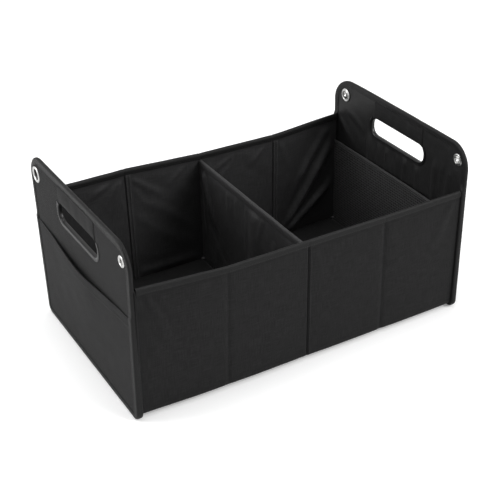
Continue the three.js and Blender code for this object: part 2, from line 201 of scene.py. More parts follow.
def rounding(radius: float, degrees: Sequence[float]) -> list[tuple[float, float]]:
    """A tape's quarter turn: how far each point lies from the fold's end and in from the tape's face."""
    turn = np.radians(degrees)
    return [(radius * (1 - math.sin(a)), radius * (1 - math.cos(a))) for a in turn]


def folded(leg: Sequence[Sequence[float]], first: float, second: float) -> np.ndarray:
    """Folds one leg of a tape over to its other face.

    Args:
        leg: Rows from the leg's edge to the fold, each ending with how far in from the face it lies.
        first: Where the face that it starts on lies.
        second: Where the other face lies.

    Returns:
        The rows of both legs, each ending with where it lies.
    """
    inwards = math.copysign(1, second - first)
    there = [(*row, first + inwards * bend) for *row, bend in leg]
    back = [(*row, second - inwards * bend) for *row, bend in leg[::-1]]
    return np.array(there + back)


def spaced(low: float, high: float, step: float, extra: Sequence[float] = ()) -> np.ndarray:
    """Even positions about a step apart, with some more put in between them.

    Args:
        low: The first position.
        high: The last position.
        step: The widest distance between two positions.
        extra: More positions, which push away even ones that lie too close.

    Returns:
        The positions in rising order.
    """
    even = np.linspace(low, high, max(2, math.ceil((high - low) / step) + 1))
    wanted = np.array([place for place in extra if low < place < high])
    if len(wanted):
        gap = np.abs(even[:, None] - wanted[None, :]).min(axis=1)
        ends = (even == even[0]) | (even == even[-1])
        even = even[ends | (gap > 0.35 * step)]
    return np.unique(np.concatenate([even, wanted]))


def cloth_noise(u: np.ndarray, v: np.ndarray, size: float, seed: int) -> np.ndarray:
    """Smooth noise from -1 to 1 over a sheet.

    Args:
        u: First flat coordinate.
        v: Second flat coordinate.
        size: The distance between two bumps.
        seed: Which noise it is.

    Returns:
        The noise at each point.
    """
    table = np.random.default_rng(seed).uniform(-1.0, 1.0, (64, 64))
    a, b = u / size + 17.3, v / size + 9.1
    i, j = np.floor(a).astype(int), np.floor(b).astype(int)
    s, t = smoothstep(0, 1, a - i), smoothstep(0, 1, b - j)
    near = table[i % 64, j % 64] * (1 - s) + table[(i + 1) % 64, j % 64] * s
    far = table[i % 64, (j + 1) % 64] * (1 - s) + table[(i + 1) % 64, (j + 1) % 64] * s
    return near * (1 - t) + far * t


@dataclass(frozen=True)
class Crease:
    """A tension fold in a sheet, narrow where it starts and wide where it fades, in flat millimetres."""

    start: tuple[float, float]
    end: tuple[float, float]
    width: float
    height: float
    pinch: float = 0.4
    trough: float = 0.35

    def relief(self, u: np.ndarray, v: np.ndarray) -> np.ndarray:
        """The fold's height.

        Args:
            u: First flat coordinate.
            v: Second flat coordinate.

        Returns:
            The height at each point, in metres.
        """
        first, run = np.array(self.start) * MM, (np.array(self.end) - self.start) * MM
        length = float(np.hypot(*run))
        gone = ((u - first[0]) * run[0] + (v - first[1]) * run[1]) / length**2
        across = ((v - first[1]) * run[0] - (u - first[0]) * run[1]) / length
        width = self.width * MM * (self.pinch + (1 - self.pinch) * np.clip(gone, 0, 1))
        fade = smoothstep(-0.08, 0.12, gone) * (1 - smoothstep(0.55, 1.1, gone))
        valley = hump(across - 1.9 * width, width)
        return self.height * MM * fade * (hump(across, width) - self.trough * valley)


def relief_of(creases: Sequence[Crease], u: np.ndarray, v: np.ndarray) -> np.ndarray:
    """The height of several folds together."""
    return sum((crease.relief(u, v) for crease in creases), np.zeros_like(u))


@dataclass(frozen=True)
class Outline:
    """An upright rounded outline in the panel's plane, with its own radius at the foot and at the top."""

    half: float
    bottom: float
    top: float
    foot_radius: float
    top_radius: float
    middle: float = 0.0

    def inset(self, distance: float) -> Outline:
        """The outline drawn in from its edge.

        Args:
            distance: How far.

        Returns:
            The smaller outline.
        """
        return Outline(
            self.half - distance,
            self.bottom + distance,
            self.top - distance,
            max(self.foot_radius - distance, 1 * MM),
            max(self.top_radius - distance, 1 * MM),
            self.middle,
        )

    def _corner(self, y: np.ndarray, z: np.ndarray) -> tuple[np.ndarray, np.ndarray, np.ndarray]:
        """Measures points from the nearest corner.

        Args:
            y: Distance across the panel.
            z: Height.

        Returns:
            How far each point lies past the start of the corner's arc, across and up, and its radius.
        """
        level, tall = (self.bottom + self.top) / 2, (self.top - self.bottom) / 2
        radius = np.where(z > level, self.top_radius, self.foot_radius)
        return np.abs(y - self.middle) - self.half + radius, np.abs(z - level) - tall + radius, radius

    def distance(self, y: np.ndarray, z: np.ndarray) -> np.ndarray:
        """The distance of each point from the outline, below zero inside it."""
        a, b, radius = self._corner(y, z)
        return np.hypot(np.maximum(a, 0), np.maximum(b, 0)) + np.minimum(np.maximum(a, b), 0) - radius

    def nearest(self, y: np.ndarray, z: np.ndarray) -> tuple[np.ndarray, np.ndarray]:
        """Finds the nearest points of the outline.

        Args:
            y: Distance across the panel.
            z: Height.

        Returns:
            The two coordinates of the nearest points.
        """
        a, b, _ = self._corner(y, z)
        level = (self.bottom + self.top) / 2
        round_corner = (a > 0) & (b > 0)
        size = np.maximum(np.hypot(a, b), 1e-9)
        gy = np.where(round_corner, a / size, np.where(a > b, 1.0, 0.0)) * np.sign(y - self.middle)
        gz = np.where(round_corner, b / size, np.where(a > b, 0.0, 1.0)) * np.sign(z - level)
        away = self.distance(y, z)
        return y - away * gy, z - away * gz

    def walk(self, step: float) -> tuple[np.ndarray, np.ndarray, np.ndarray]:
        """Goes once round the outline, from the middle of the foot towards positive Y.

        Args:
            step: The widest distance between two points on the straight runs.

        Returns:
            The distance gone, the points and the outward directions at them.
        """
        points: list[tuple[float, float]] = []
        outward: list[tuple[float, float]] = []

        def straight(a: tuple[float, float], b: tuple[float, float], n: tuple[float, float]) -> None:
            """Adds a straight run without its last point.

            Args:
                a: Where it starts.
                b: Where it ends.
                n: The outward direction.
            """
            count = max(1, math.ceil(math.dist(a, b) / step))
            for k in range(count):
                points.append((a[0] + (b[0] - a[0]) * k / count, a[1] + (b[1] - a[1]) * k / count))
                outward.append(n)

        def turn(y: float, z: float, radius: float, start: float) -> None:
            """Adds a quarter turn without its last point.

            Args:
                y: The middle of its arc.
                z: The height of the middle.
                radius: Its radius.
                start: The angle that it starts at.
            """
            count = max(8, math.ceil(radius * math.pi / 2 / step))
            for k in range(count):
                angle = start + math.pi / 2 * k / count
                outward.append((math.cos(angle), math.sin(angle)))
                points.append((y + radius * math.cos(angle), z + radius * math.sin(angle)))

        h, lo, hi, f, t = self.half, self.bottom, self.top, self.foot_radius, self.top_radius
        straight((0, lo), (h - f, lo), (0, -1))
        turn(h - f, lo + f, f, -math.pi / 2)
        straight((h, lo + f), (h, hi - t), (1, 0))
        turn(h - t, hi - t, t, 0)
        straight((h - t, hi), (t - h, hi), (0, 1))
        turn(t - h, hi - t, t, math.pi / 2)
        straight((-h, hi - t), (-h, lo + f), (-1, 0))
        turn(f - h, lo + f, f, math.pi)
        straight((f - h, lo), (0, lo), (0, -1))
        points.append((0, lo))
        outward.append((0, -1))
        line = np.array(points)
        return lengths(line), line, np.array(outward, float)


class Wiring:
    """Adds nodes to one shader tree and joins them."""

    def __init__(self, tree: bpy.types.NodeTree) -> None:
        """Keeps the tree that the nodes go into."""
        self.tree = tree

    def node(self, kind: str, **settings: object) -> bpy.types.Node:
        """Adds a node.

        Args:
            kind: The node's type.
            **settings: What is set on it.

        Returns:
            The node.
        """
        made = self.tree.nodes.new(kind)
        for name, value in settings.items():
            setattr(made, name, value)
        return made

    def feed(self, target: bpy.types.NodeSocket, value: object) -> None:
        """Joins a socket to another one, or sets it where the value is a constant.

        Args:
            target: The socket that takes the value.
            value: A socket or a constant.
        """
        if isinstance(value, bpy.types.NodeSocket):
            self.tree.links.new(value, target)
        else:
            target.default_value = value

    def fill(self, node: bpy.types.Node, values: dict[str, object]) -> bpy.types.Node:
        """Feeds several inputs of a node.

        Args:
            node: The node.
            values: A socket or a constant for each input, by its name.

        Returns:
            The node.
        """
        for name, value in values.items():
            self.feed(node.inputs[name], value)
        return node

    def maths(self, operation: str, *values: object) -> bpy.types.NodeSocket:
        """Adds a Math node.

        Args:
            operation: What it does.
            *values: Its inputs, up to three.

        Returns:
            Its result.
        """
        made = self.node("ShaderNodeMath", operation=operation)
        for socket, value in zip(made.inputs, values):
            self.feed(socket, value)
        return made.outputs[0]

    def noise(self, vector: object, scale: float, detail: float = 2.0) -> bpy.types.NodeSocket:
        """Adds a Noise Texture and returns its value."""
        made = self.fill(self.node("ShaderNodeTexNoise"), {"Vector": vector, "Scale": scale, "Detail": detail})
        return made.outputs["Fac"]

    def colours(self, factor: object, first: object, second: object) -> bpy.types.NodeSocket:
        """Adds a Mix node between two colours.

        Args:
            factor: How much of the second colour there is.
            first: The first colour.
            second: The second colour.

        Returns:
            Its result.
        """
        made = self.node("ShaderNodeMix", data_type="RGBA")
        for index, value in ((0, factor), (6, first), (7, second)):
            self.feed(made.inputs[index], value)
        return made.outputs[2]

    def bump(self, height: object, distance: float, strength: float = 1.0) -> bpy.types.NodeSocket:
        """Adds a Bump node and returns its normal."""
        values = {"Height": height, "Distance": distance, "Strength": strength}
        return self.fill(self.node("ShaderNodeBump"), values).outputs["Normal"]


class Effects:
    """The node groups that several finishes share, each built once."""

    def __init__(self) -> None:
        """Builds the groups."""
        self.weave = self._weave()
        self.ribs = self._ribs()
        self.handling = self._handling()

    @staticmethod
    def _group(
        name: str, setting: str, default: float, outputs: Sequence[str]
    ) -> tuple[Wiring, bpy.types.NodeOutputs, bpy.types.NodeInputs]:
        """Starts a group that takes a vector and one number.

        Args:
            name: The group's name.
            setting: The number's name.
            default: Its default.
            outputs: The names of the outputs, which are all values.

        Returns:
            The group's wiring, what it is given and what it gives.
        """
        tree = bpy.data.node_groups.new(name, "ShaderNodeTree")
        tree.interface.new_socket(name="Vector", in_out="INPUT", socket_type="NodeSocketVector")
        made = tree.interface.new_socket(name=setting, in_out="INPUT", socket_type="NodeSocketFloat")
        made.default_value = default
        for label in outputs:
            tree.interface.new_socket(name=label, in_out="OUTPUT", socket_type="NodeSocketFloat")
        w = Wiring(tree)
        return w, w.node("NodeGroupInput").outputs, w.node("NodeGroupOutput").inputs

    def _weave(self) -> bpy.types.NodeTree:
        """Plain weave: threads that pass over and under each other, and a slow change in their tension.

        Returns:
            The group.
        """
        w, given, out = self._group("Cloth weave", "Pitch", 0.0006, ("Height", "Slub"))
        parts = w.fill(w.node("ShaderNodeSeparateXYZ"), {"Vector": given["Vector"]}).outputs
        turns = w.maths("DIVIDE", math.pi, given["Pitch"])
        warp, weft = (w.maths("SINE", w.maths("MULTIPLY", parts[axis], turns)) for axis in ("X", "Y"))
        over = w.maths("GREATER_THAN", w.maths("MULTIPLY", warp, weft), 0.0)
        thick, thin = w.maths("ABSOLUTE", warp), w.maths("ABSOLUTE", weft)
        up = w.maths("MULTIPLY", w.maths("SQRT", thick), thin)
        down = w.maths("MULTIPLY", w.maths("SQRT", thin), thick)
        first = w.maths("MULTIPLY", up, over)
        second = w.maths("MULTIPLY", down, w.maths("SUBTRACT", 1.0, over))
        w.feed(out["Height"], w.maths("ADD", first, second))
        slubs = []
        for scale in ((1.0, 0.06, 1.0), (0.06, 1.0, 1.0)):
            stretch = w.fill(w.node("ShaderNodeMapping"), {"Scale": scale, "Vector": given["Vector"]})
            slubs.append(w.noise(stretch.outputs[0], 900.0))
        w.feed(out["Slub"], w.maths("MULTIPLY", w.maths("ADD", *slubs), 0.5))
        return w.tree

    def _ribs(self) -> bpy.types.NodeTree:
        """Ribs across a tape, and the unevenness of its threads.

        Returns:
            The group.
        """
        w, given, out = self._group("Tape ribs", "Pitch", 0.0009, ("Height", "Slub"))
        parts = w.fill(w.node("ShaderNodeSeparateXYZ"), {"Vector": given["Vector"]}).outputs
        turns = w.maths("DIVIDE", 2 * math.pi, given["Pitch"])
        wave = w.maths("SINE", w.maths("MULTIPLY", parts["X"], turns))
        w.feed(out["Height"], w.maths("MULTIPLY_ADD", wave, 0.5, 0.5))
        w.feed(out["Slub"], w.noise(given["Vector"], 700.0))
        return w.tree

    def _handling(self) -> bpy.types.NodeTree:
        """Faint cloudiness from handling and folding.

        Returns:
            The group.
        """
        w, given, out = self._group("Handling marks", "Amount", 0.2, ("Tone",))
        broad, fine = w.noise(given["Vector"], 9.0, 4.0), w.noise(given["Vector"], 160.0)
        both = w.maths("MULTIPLY_ADD", fine, 0.35, w.maths("MULTIPLY", broad, 0.65))
        w.feed(out["Tone"], w.maths("MULTIPLY", w.maths("SUBTRACT", both, 0.5), given["Amount"]))
        return w.tree


class Surface(Wiring):
    """A new material: its nodes, its shader, the places on the object and the marks of handling."""

    def __init__(self, name: str, effects: Effects, handling: float) -> None:
        """Starts the material.

        Args:
            name: Its name.
            effects: The shared node groups.
            handling: How much it is marked by handling.
        """
        self.material = bpy.data.materials.new(name)
        self.material.use_nodes = True
        super().__init__(self.material.node_tree)
        self.shader = self.tree.nodes["Principled BSDF"]
        self.solid = self.node("ShaderNodeTexCoord").outputs["Object"]
        marks = self.node("ShaderNodeGroup", node_tree=effects.handling)
        self.tone = self.fill(marks, {"Vector": self.solid, "Amount": handling}).outputs["Tone"]


@dataclass(frozen=True)
class ClothFinish:
    """A cloth or tape: its dye, painted shade in the hollows between its threads, how it scatters light, and the
    threads that it is woven from.
    """

    name: str
    deep: float
    light: float
    roughness: float
    specular: float
    sheen: float
    pitch: float
    relief: float
    handling: float
    ribbed: bool = False
    tint: tuple[float, float, float] = (1.0, 0.99, 1.01)

    def material(self, effects: Effects) -> bpy.types.Material:
        """Builds the material.

        Args:
            effects: The shared node groups.

        Returns:
            The material, which reads the piece's own UV map in metres.
        """
        w = Surface(self.name, effects, self.handling)
        flat = w.node("ShaderNodeUVMap", uv_map="UVMap").outputs["UV"]
        weave = w.node("ShaderNodeGroup", node_tree=effects.ribs if self.ribbed else effects.weave)
        threads = w.fill(weave, {"Vector": flat, "Pitch": self.pitch}).outputs
        deep, light = ((*(shade * t for t in self.tint), 1.0) for shade in (self.deep, self.light))
        # Painted shade: the base colour darkens in the hollows of the weave and lightens on the thread crowns; the
        # slubs and the handling marks are the cloth's own tone.
        crown = w.maths("MULTIPLY_ADD", threads["Height"], 0.55, w.tone)
        share = w.maths("MULTIPLY_ADD", w.maths("SUBTRACT", threads["Slub"], 0.5), 2.2, crown)
        rough = w.maths("MULTIPLY_ADD", w.tone, 0.5, self.roughness)
        values = {
            "Base Color": w.colours(w.maths("MINIMUM", w.maths("MAXIMUM", share, 0.0), 1.0), deep, light),
            "Roughness": w.maths("MINIMUM", rough, 1.0),
            "Specular IOR Level": self.specular,
            "Sheen Weight": self.sheen,
            "Sheen Roughness": 0.45,
            "Normal": w.bump(threads["Height"], self.relief, 0.6),
        }
        w.fill(w.shader, values)
        return w.material


@dataclass(frozen=True)
class MetalFinish:
    """Bright plated metal with fine rubbing marks."""

    name: str = "Nickel plate"
    colour: tuple[float, float, float] = (0.58, 0.58, 0.57)
    roughness: float = 0.26

    def material(self, effects: Effects) -> bpy.types.Material:
        """Builds the material.

        Args:
            effects: The shared node groups.

        Returns:
            The material.
        """
        w = Surface(self.name, effects, 0.4)
        dull = (*(0.72 * c for c in self.colour), 1.0)
        share = w.maths("MULTIPLY_ADD", w.tone, 2.0, 0.75)
        values = {
            "Base Color": w.colours(share, dull, (*self.colour, 1.0)),
            "Metallic": 1.0,
            "Roughness": w.maths("MULTIPLY_ADD", w.noise(w.solid, 1400.0, 3.0), 0.16, self.roughness),
        }
        w.fill(w.shader, values)
        return w.material


@dataclass(frozen=True)
class BoardFinish:
    """Grey board with pressed fibres in it."""

    name: str = "Grey board"
    dark: float = 0.11
    light: float = 0.19
    tint: tuple[float, float, float] = (1.0, 0.95, 0.87)

    def material(self, effects: Effects) -> bpy.types.Material:
        """Builds the material.

        Args:
            effects: The shared node groups.

        Returns:
            The material.
        """
        w = Surface(self.name, effects, 1.0)
        fibre = w.noise(w.solid, 420.0, 6.0)
        dark, light = ((*(shade * t for t in self.tint), 1.0) for shade in (self.dark, self.light))
        values = {
            "Base Color": w.colours(w.maths("ADD", fibre, w.tone), dark, light),
            "Roughness": 0.9,
            "Normal": w.bump(fibre, 0.1 * MM),
        }
        w.fill(w.shader, values)
        return w.material


class Wardrobe:
    """All materials of the organizer, by finish, and the thread's."""

    SHELL = ClothFinish("Coarse polyester cloth", 0.006, 0.021, 0.8, 0.12, 0.04, 0.7 * MM, 0.15 * MM, 0.3)
    LINING = ClothFinish("Coated nylon lining", 0.018, 0.042, 0.5, 0.22, 0.02, 0.45 * MM, 0.04 * MM, 0.25)
    GRIP = ClothFinish("Grip cloth", 0.006, 0.019, 0.75, 0.12, 0.03, 0.6 * MM, 0.08 * MM, 0.3)
    # Painted shade: the lining cloth darkened for the end panels and the floor lining, where the box shades it.
    END_LINING = ClothFinish("End lining cloth", 0.005, 0.017, 0.5, 0.2, 0.02, 0.45 * MM, 0.04 * MM, 0.25)
    # Painted light: the lining cloth lightened for the divider cover and the net pocket's tape, where more light
    # falls on them.
    DIVIDER = ClothFinish("Divider cloth", 0.018, 0.044, 0.5, 0.22, 0.02, 0.45 * MM, 0.04 * MM, 0.25)
    TAPE = ClothFinish("Ribbed binding tape", 0.002, 0.013, 0.5, 0.17, 0.02, 0.9 * MM, 0.12 * MM, 0.4, True)
    PIPING = ClothFinish("Slot tape", 0.003, 0.009, 0.32, 0.32, 0.02, 0.9 * MM, 0.03 * MM, 0.3, True)
    NET = ClothFinish("Knitted net", 0.038, 0.07, 0.5, 0.35, 0.05, 0.25 * MM, 0.03 * MM, 0.2)
    THREAD = ClothFinish("Sewing thread", 0.007, 0.016, 0.5, 0.2, 0.03, 0.3 * MM, 0.03 * MM, 0.2, True)
    # Pale tape and thread: partly their own colour and partly painted highlight, standing for the light lines and
    # glints at the lining's seams, the floor's seams, the net pocket's tape and the floor corners.
    LOOP = ClothFinish("Loop tape", 0.05, 0.11, 0.5, 0.4, 0.05, 0.9 * MM, 0.05 * MM, 0.3, True)

    def __init__(self) -> None:
        """Builds every material once."""
        effects = Effects()
        self.thread = self.THREAD.material(effects)
        self.end_lining = self.END_LINING.material(effects)
        self.grip = self.GRIP.material(effects)
        self.divider = self.DIVIDER.material(effects)
        self.piping = self.PIPING.material(effects)
        self.loop = self.LOOP.material(effects)
        self.of = {
            Finish.SHELL: self.SHELL.material(effects),
            Finish.LINING: self.LINING.material(effects),
            Finish.TAPE: self.TAPE.material(effects),
            Finish.NET: self.NET.material(effects),
            Finish.BOARD: BoardFinish().material(effects),
            Finish.METAL: MetalFinish().material(effects),
        }

    def dress_frame(self, nodes: dict[str, bpy.types.Object]) -> None:
        """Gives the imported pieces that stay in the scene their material.

        Args:
            nodes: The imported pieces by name.
        """
        finish = {
            "board": Finish.BOARD,
            "eyelet": Finish.METAL,
            "washer": Finish.METAL,
            "lining": Finish.LINING,
            "binding": Finish.TAPE,
            "edging": Finish.TAPE,
        }
        for name, node in nodes.items():
            words = [word for word in finish if word in name]
            material = self.of[finish[words[0]] if words else Finish.SHELL]
            node.data.materials.clear()
            node.data.materials.append(material)


@dataclass
class Bench:
    """The modelling steps that the pieces share."""

    box: BoxSizes
    wardrobe: Wardrobe
    made: dict[str, bpy.types.Object] = field(default_factory=dict)

    @staticmethod
    def pick(piece: bpy.types.Object | None) -> None:
        """Leaves object mode's selection with this piece alone, or with nothing.

        Args:
            piece: The piece, or None.
        """
        if bpy.context.object and bpy.context.object.mode != "OBJECT":
            bpy.ops.object.mode_set(mode="OBJECT")
        bpy.ops.object.select_all(action="DESELECT")
        if piece:
            piece.select_set(True)
            bpy.context.view_layer.objects.active = piece

    @contextmanager
    def editing(self, piece: bpy.types.Object, action: str | None = "SELECT") -> Iterator[None]:
        """Opens a piece in edit mode for the steps under it.

        Args:
            piece: The piece.
            action: How all of it is selected first, or None where the selection stays.

        Yields:
            Nothing, while the piece is open.
        """
        self.pick(piece)
        bpy.ops.object.mode_set(mode="EDIT")
        if action:
            bpy.ops.mesh.select_all(action=action)
        yield
        bpy.ops.object.mode_set(mode="OBJECT")

    @staticmethod
    def corners(piece: bpy.types.Object) -> np.ndarray:
        """The coordinates of a piece's vertices.

        Args:
            piece: The piece.

        Returns:
            One row for each vertex.
        """
        flat = np.empty(len(piece.data.vertices) * 3)
        piece.data.vertices.foreach_get("co", flat)
        return flat.reshape(-1, 3)

    @staticmethod
    def move(piece: bpy.types.Object, points: np.ndarray) -> None:
        """Puts the piece's vertices at these coordinates."""
        piece.data.vertices.foreach_set("co", np.ascontiguousarray(points, float).ravel())
        piece.data.update()

    def cut(self, name: str, us: np.ndarray, vs: np.ndarray) -> bpy.types.Object:
        """Cuts a flat sheet of cloth, with its threads' directions in its UV map in metres.

        Args:
            name: The piece's name.
            us: Where its columns of vertices lie.
            vs: Where its rows of vertices lie.

        Returns:
            The flat sheet.
        """
        self.pick(None)
        columns, rows = len(us) - 1, len(vs) - 1
        bpy.ops.mesh.primitive_grid_add(x_subdivisions=columns, y_subdivisions=rows, size=2.0)
        piece = bpy.context.object
        piece.name = piece.data.name = name
        square = self.corners(piece)
        column = np.rint((square[:, 0] + 1) / 2 * columns).astype(int)
        row = np.rint((square[:, 1] + 1) / 2 * rows).astype(int)
        self.move(piece, np.stack([us[column], vs[row], np.zeros(len(square))], axis=-1))
        self.mark_threads(piece)
        return piece

    def mark_threads(self, piece: bpy.types.Object) -> None:
        """Writes a flat piece's coordinates into its UV map.

        Args:
            piece: The piece.
        """
        flat = self.corners(piece)[:, :2]
        index = np.empty(len(piece.data.loops), int)
        piece.data.loops.foreach_get("vertex_index", index)
        piece.data.uv_layers["UVMap"].data.foreach_set("uv", flat[index].ravel())

    def trim(self, piece: bpy.types.Object, outline: Outline, keep_inside: bool = False) -> None:
        """Trims a flat sheet along an outline, and draws its cut edge onto it.

        Args:
            piece: The flat sheet.
            outline: The outline, in the sheet's own coordinates.
            keep_inside: Whether the cloth inside the outline stays, or the cloth outside it.
        """
        sign = 1 if keep_inside else -1
        past = outline.distance(*self.corners(piece).T[:2]) * sign
        with self.editing(piece, "DESELECT"):
            bpy.ops.mesh.select_mode(type="FACE")
        for face in piece.data.polygons:
            face.select = all(past[v] > -ON_EDGE for v in face.vertices)
        with self.editing(piece, None):
            bpy.ops.mesh.delete(type="FACE")
        flat = self.corners(piece)
        outside = outline.distance(flat[:, 0], flat[:, 1]) * sign > 0
        y, z = outline.nearest(flat[:, 0], flat[:, 1])
        flat[outside, 0], flat[outside, 1] = y[outside], z[outside]
        self.move(piece, flat)
        self.mark_threads(piece)

    def form(
        self,
        piece: bpy.types.Object,
        place: Place,
        thickness: float,
        finish: Finish,
        node: str = "",
        flip: bool = False,
        closed: bool = False,
        material: bpy.types.Material | None = None,
    ) -> None:
        """Bends a flat sheet into its place, gives it its thickness, and keeps it.

        Args:
            piece: The flat sheet.
            place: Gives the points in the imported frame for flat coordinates.
            thickness: Its thickness, behind the face that shows.
            finish: Its finish.
            node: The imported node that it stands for.
            flip: Whether the sheet's other face shows.
            closed: Whether its two short edges meet and are joined.
            material: A material other than the finish's own.
        """
        self.move(piece, place(*self.corners(piece).T[:2]))
        if flip:
            piece.data.flip_normals()
        if closed:
            with self.editing(piece):
                bpy.ops.mesh.remove_doubles(threshold=0.01 * MM)
        self.pick(piece)
        wall = piece.modifiers.new("Thickness", "SOLIDIFY")
        wall.thickness = thickness
        wall.offset = -1.0
        bpy.ops.object.modifier_apply(modifier=wall.name)
        self.keep(piece, finish, node, material)

    def keep(
        self,
        piece: bpy.types.Object,
        finish: Finish,
        node: str = "",
        material: bpy.types.Material | None = None,
        angle: float = 50.0,
    ) -> bpy.types.Object:
        """Finishes a piece: smooth shading, material, and its place in the frame.

        Args:
            piece: The piece.
            finish: The finish and the record's slot that it is named after.
            node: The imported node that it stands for.
            material: A material other than the finish's own.
            angle: Edges sharper than this many degrees stay sharp.

        Returns:
            The piece.
        """
        self.pick(piece)
        bpy.ops.object.shade_smooth_by_angle(angle=math.radians(angle))
        piece.data.materials.clear()
        piece.data.materials.append(material or self.wardrobe.of[finish])
        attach(piece, "root")
        if node:
            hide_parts(node)
        self.made[piece.name] = piece
        log.info("%s: %d faces", piece.name, len(piece.data.polygons))
        return piece


@dataclass
class Sewing:
    """Lockstitch in thread, each stitch a short rounded bead of thread on the cloth."""

    bench: Bench
    pitch: float = 3.6 * MM
    length: float = 2.9 * MM
    radius: float = 0.32 * MM
    pattern: tuple[np.ndarray, list[tuple[int, ...]]] | None = None

    def _stitch(self) -> tuple[np.ndarray, list[tuple[int, ...]]]:
        """Models one stitch along X, once.

        Returns:
            Its vertices and faces.
        """
        if self.pattern is None:
            self.bench.pick(None)
            bpy.ops.mesh.primitive_uv_sphere_add(segments=6, ring_count=4, radius=1.0)
            bead = bpy.context.object
            with self.bench.editing(bead):
                bpy.ops.transform.rotate(value=math.pi / 2, orient_axis="Y", center_override=(0, 0, 0))
                size = (self.length / 2, self.radius, self.radius)
                bpy.ops.transform.resize(value=size, center_override=(0, 0, 0))
                bpy.ops.mesh.normals_make_consistent(inside=False)
            faces = [tuple(face.vertices) for face in bead.data.polygons]
            self.pattern = (self.bench.corners(bead), faces)
            bpy.data.objects.remove(bead)
        return self.pattern

    def run(self, name: str, lines: Sequence[Seam], finish: Finish, light: bool = False) -> bpy.types.Object:
        """Sews along one or more lines.

        Args:
            name: The piece's name.
            lines: For each line its points and the direction that the cloth faces there.
            finish: The finish of the cloth that is sewn.
            light: Whether the thread is the pale one, whose paleness is partly painted highlight.

        Returns:
            One piece with all stitches of these lines.
        """
        bead, bead_faces = self._stitch()
        points: list[np.ndarray] = []
        faces: list[tuple[int, ...]] = []
        for line, facing in lines:
            gone = lengths(line)
            count = max(1, int(gone[-1] / self.pitch))
            start = (gone[-1] - (count - 1) * self.pitch) / 2
            for at in start + np.arange(count) * self.pitch:
                here, ahead, behind = (
                    np.array([np.interp(at + d, gone, line[:, axis]) for axis in range(3)])
                    for d in (0, self.length / 2, -self.length / 2)
                )
                x = ahead - behind
                x /= np.linalg.norm(x)
                y = np.cross(facing, x)
                y /= np.linalg.norm(y)
                faces += [tuple(v + len(points) * len(bead) for v in face) for face in bead_faces]
                points.append(bead @ np.stack([x, y, np.cross(x, y)]) + here)
        mesh = bpy.data.meshes.new(name)
        mesh.from_pydata(np.concatenate(points).tolist(), [], faces)
        mesh.uv_layers.new(name="UVMap")
        piece = bpy.data.objects.new(name, mesh)
        bpy.context.scene.collection.objects.link(piece)
        wardrobe = self.bench.wardrobe
        return self.bench.keep(piece, finish, material=wardrobe.loop if light else wardrobe.thread, angle=80.0)


@dataclass
class Maker:
    """What every class that builds pieces has."""

    bench: Bench
    sewing: Sewing

    @property
    def box(self) -> BoxSizes:
        """The shared sizes."""
        return self.bench.box


@dataclass(frozen=True)
class Settling:
    """How far a long wall stands out of true at its two ends and three folds, in millimetres."""

    rim_rise: tuple[float, ...]
    rim_bow: tuple[float, ...]
    foot_bow: tuple[float, ...]
    stations: tuple[float, ...] = (-250.0, -125.0, 0.0, 125.0, 250.0)
    foot: float = 7.5
    rim: float = 196.0

    def _blend(self, x: np.ndarray, z: np.ndarray, low: Sequence[float], high: Sequence[float]) -> np.ndarray:
        """Straight from the foot to the rim, and straight from fold to fold.

        Args:
            x: Distance along the wall.
            z: Height.
            low: The values along the foot, in millimetres.
            high: The values along the rim.

        Returns:
            The value at each point, in metres.
        """
        share = (np.asarray(z) / MM - self.foot) / (self.rim - self.foot)
        place = np.asarray(x) / MM
        first, last = np.interp(place, self.stations, low), np.interp(place, self.stations, high)
        return (first + (last - first) * share) * MM

    def bow(self, x: np.ndarray, z: np.ndarray) -> np.ndarray:
        """How far out the wall stands."""
        return self._blend(x, z, self.foot_bow, self.rim_bow)

    def rise(self, x: np.ndarray, z: np.ndarray) -> np.ndarray:
        """How much higher the wall reaches."""
        return self._blend(x, z, (0.0,) * len(self.stations), self.rim_rise)


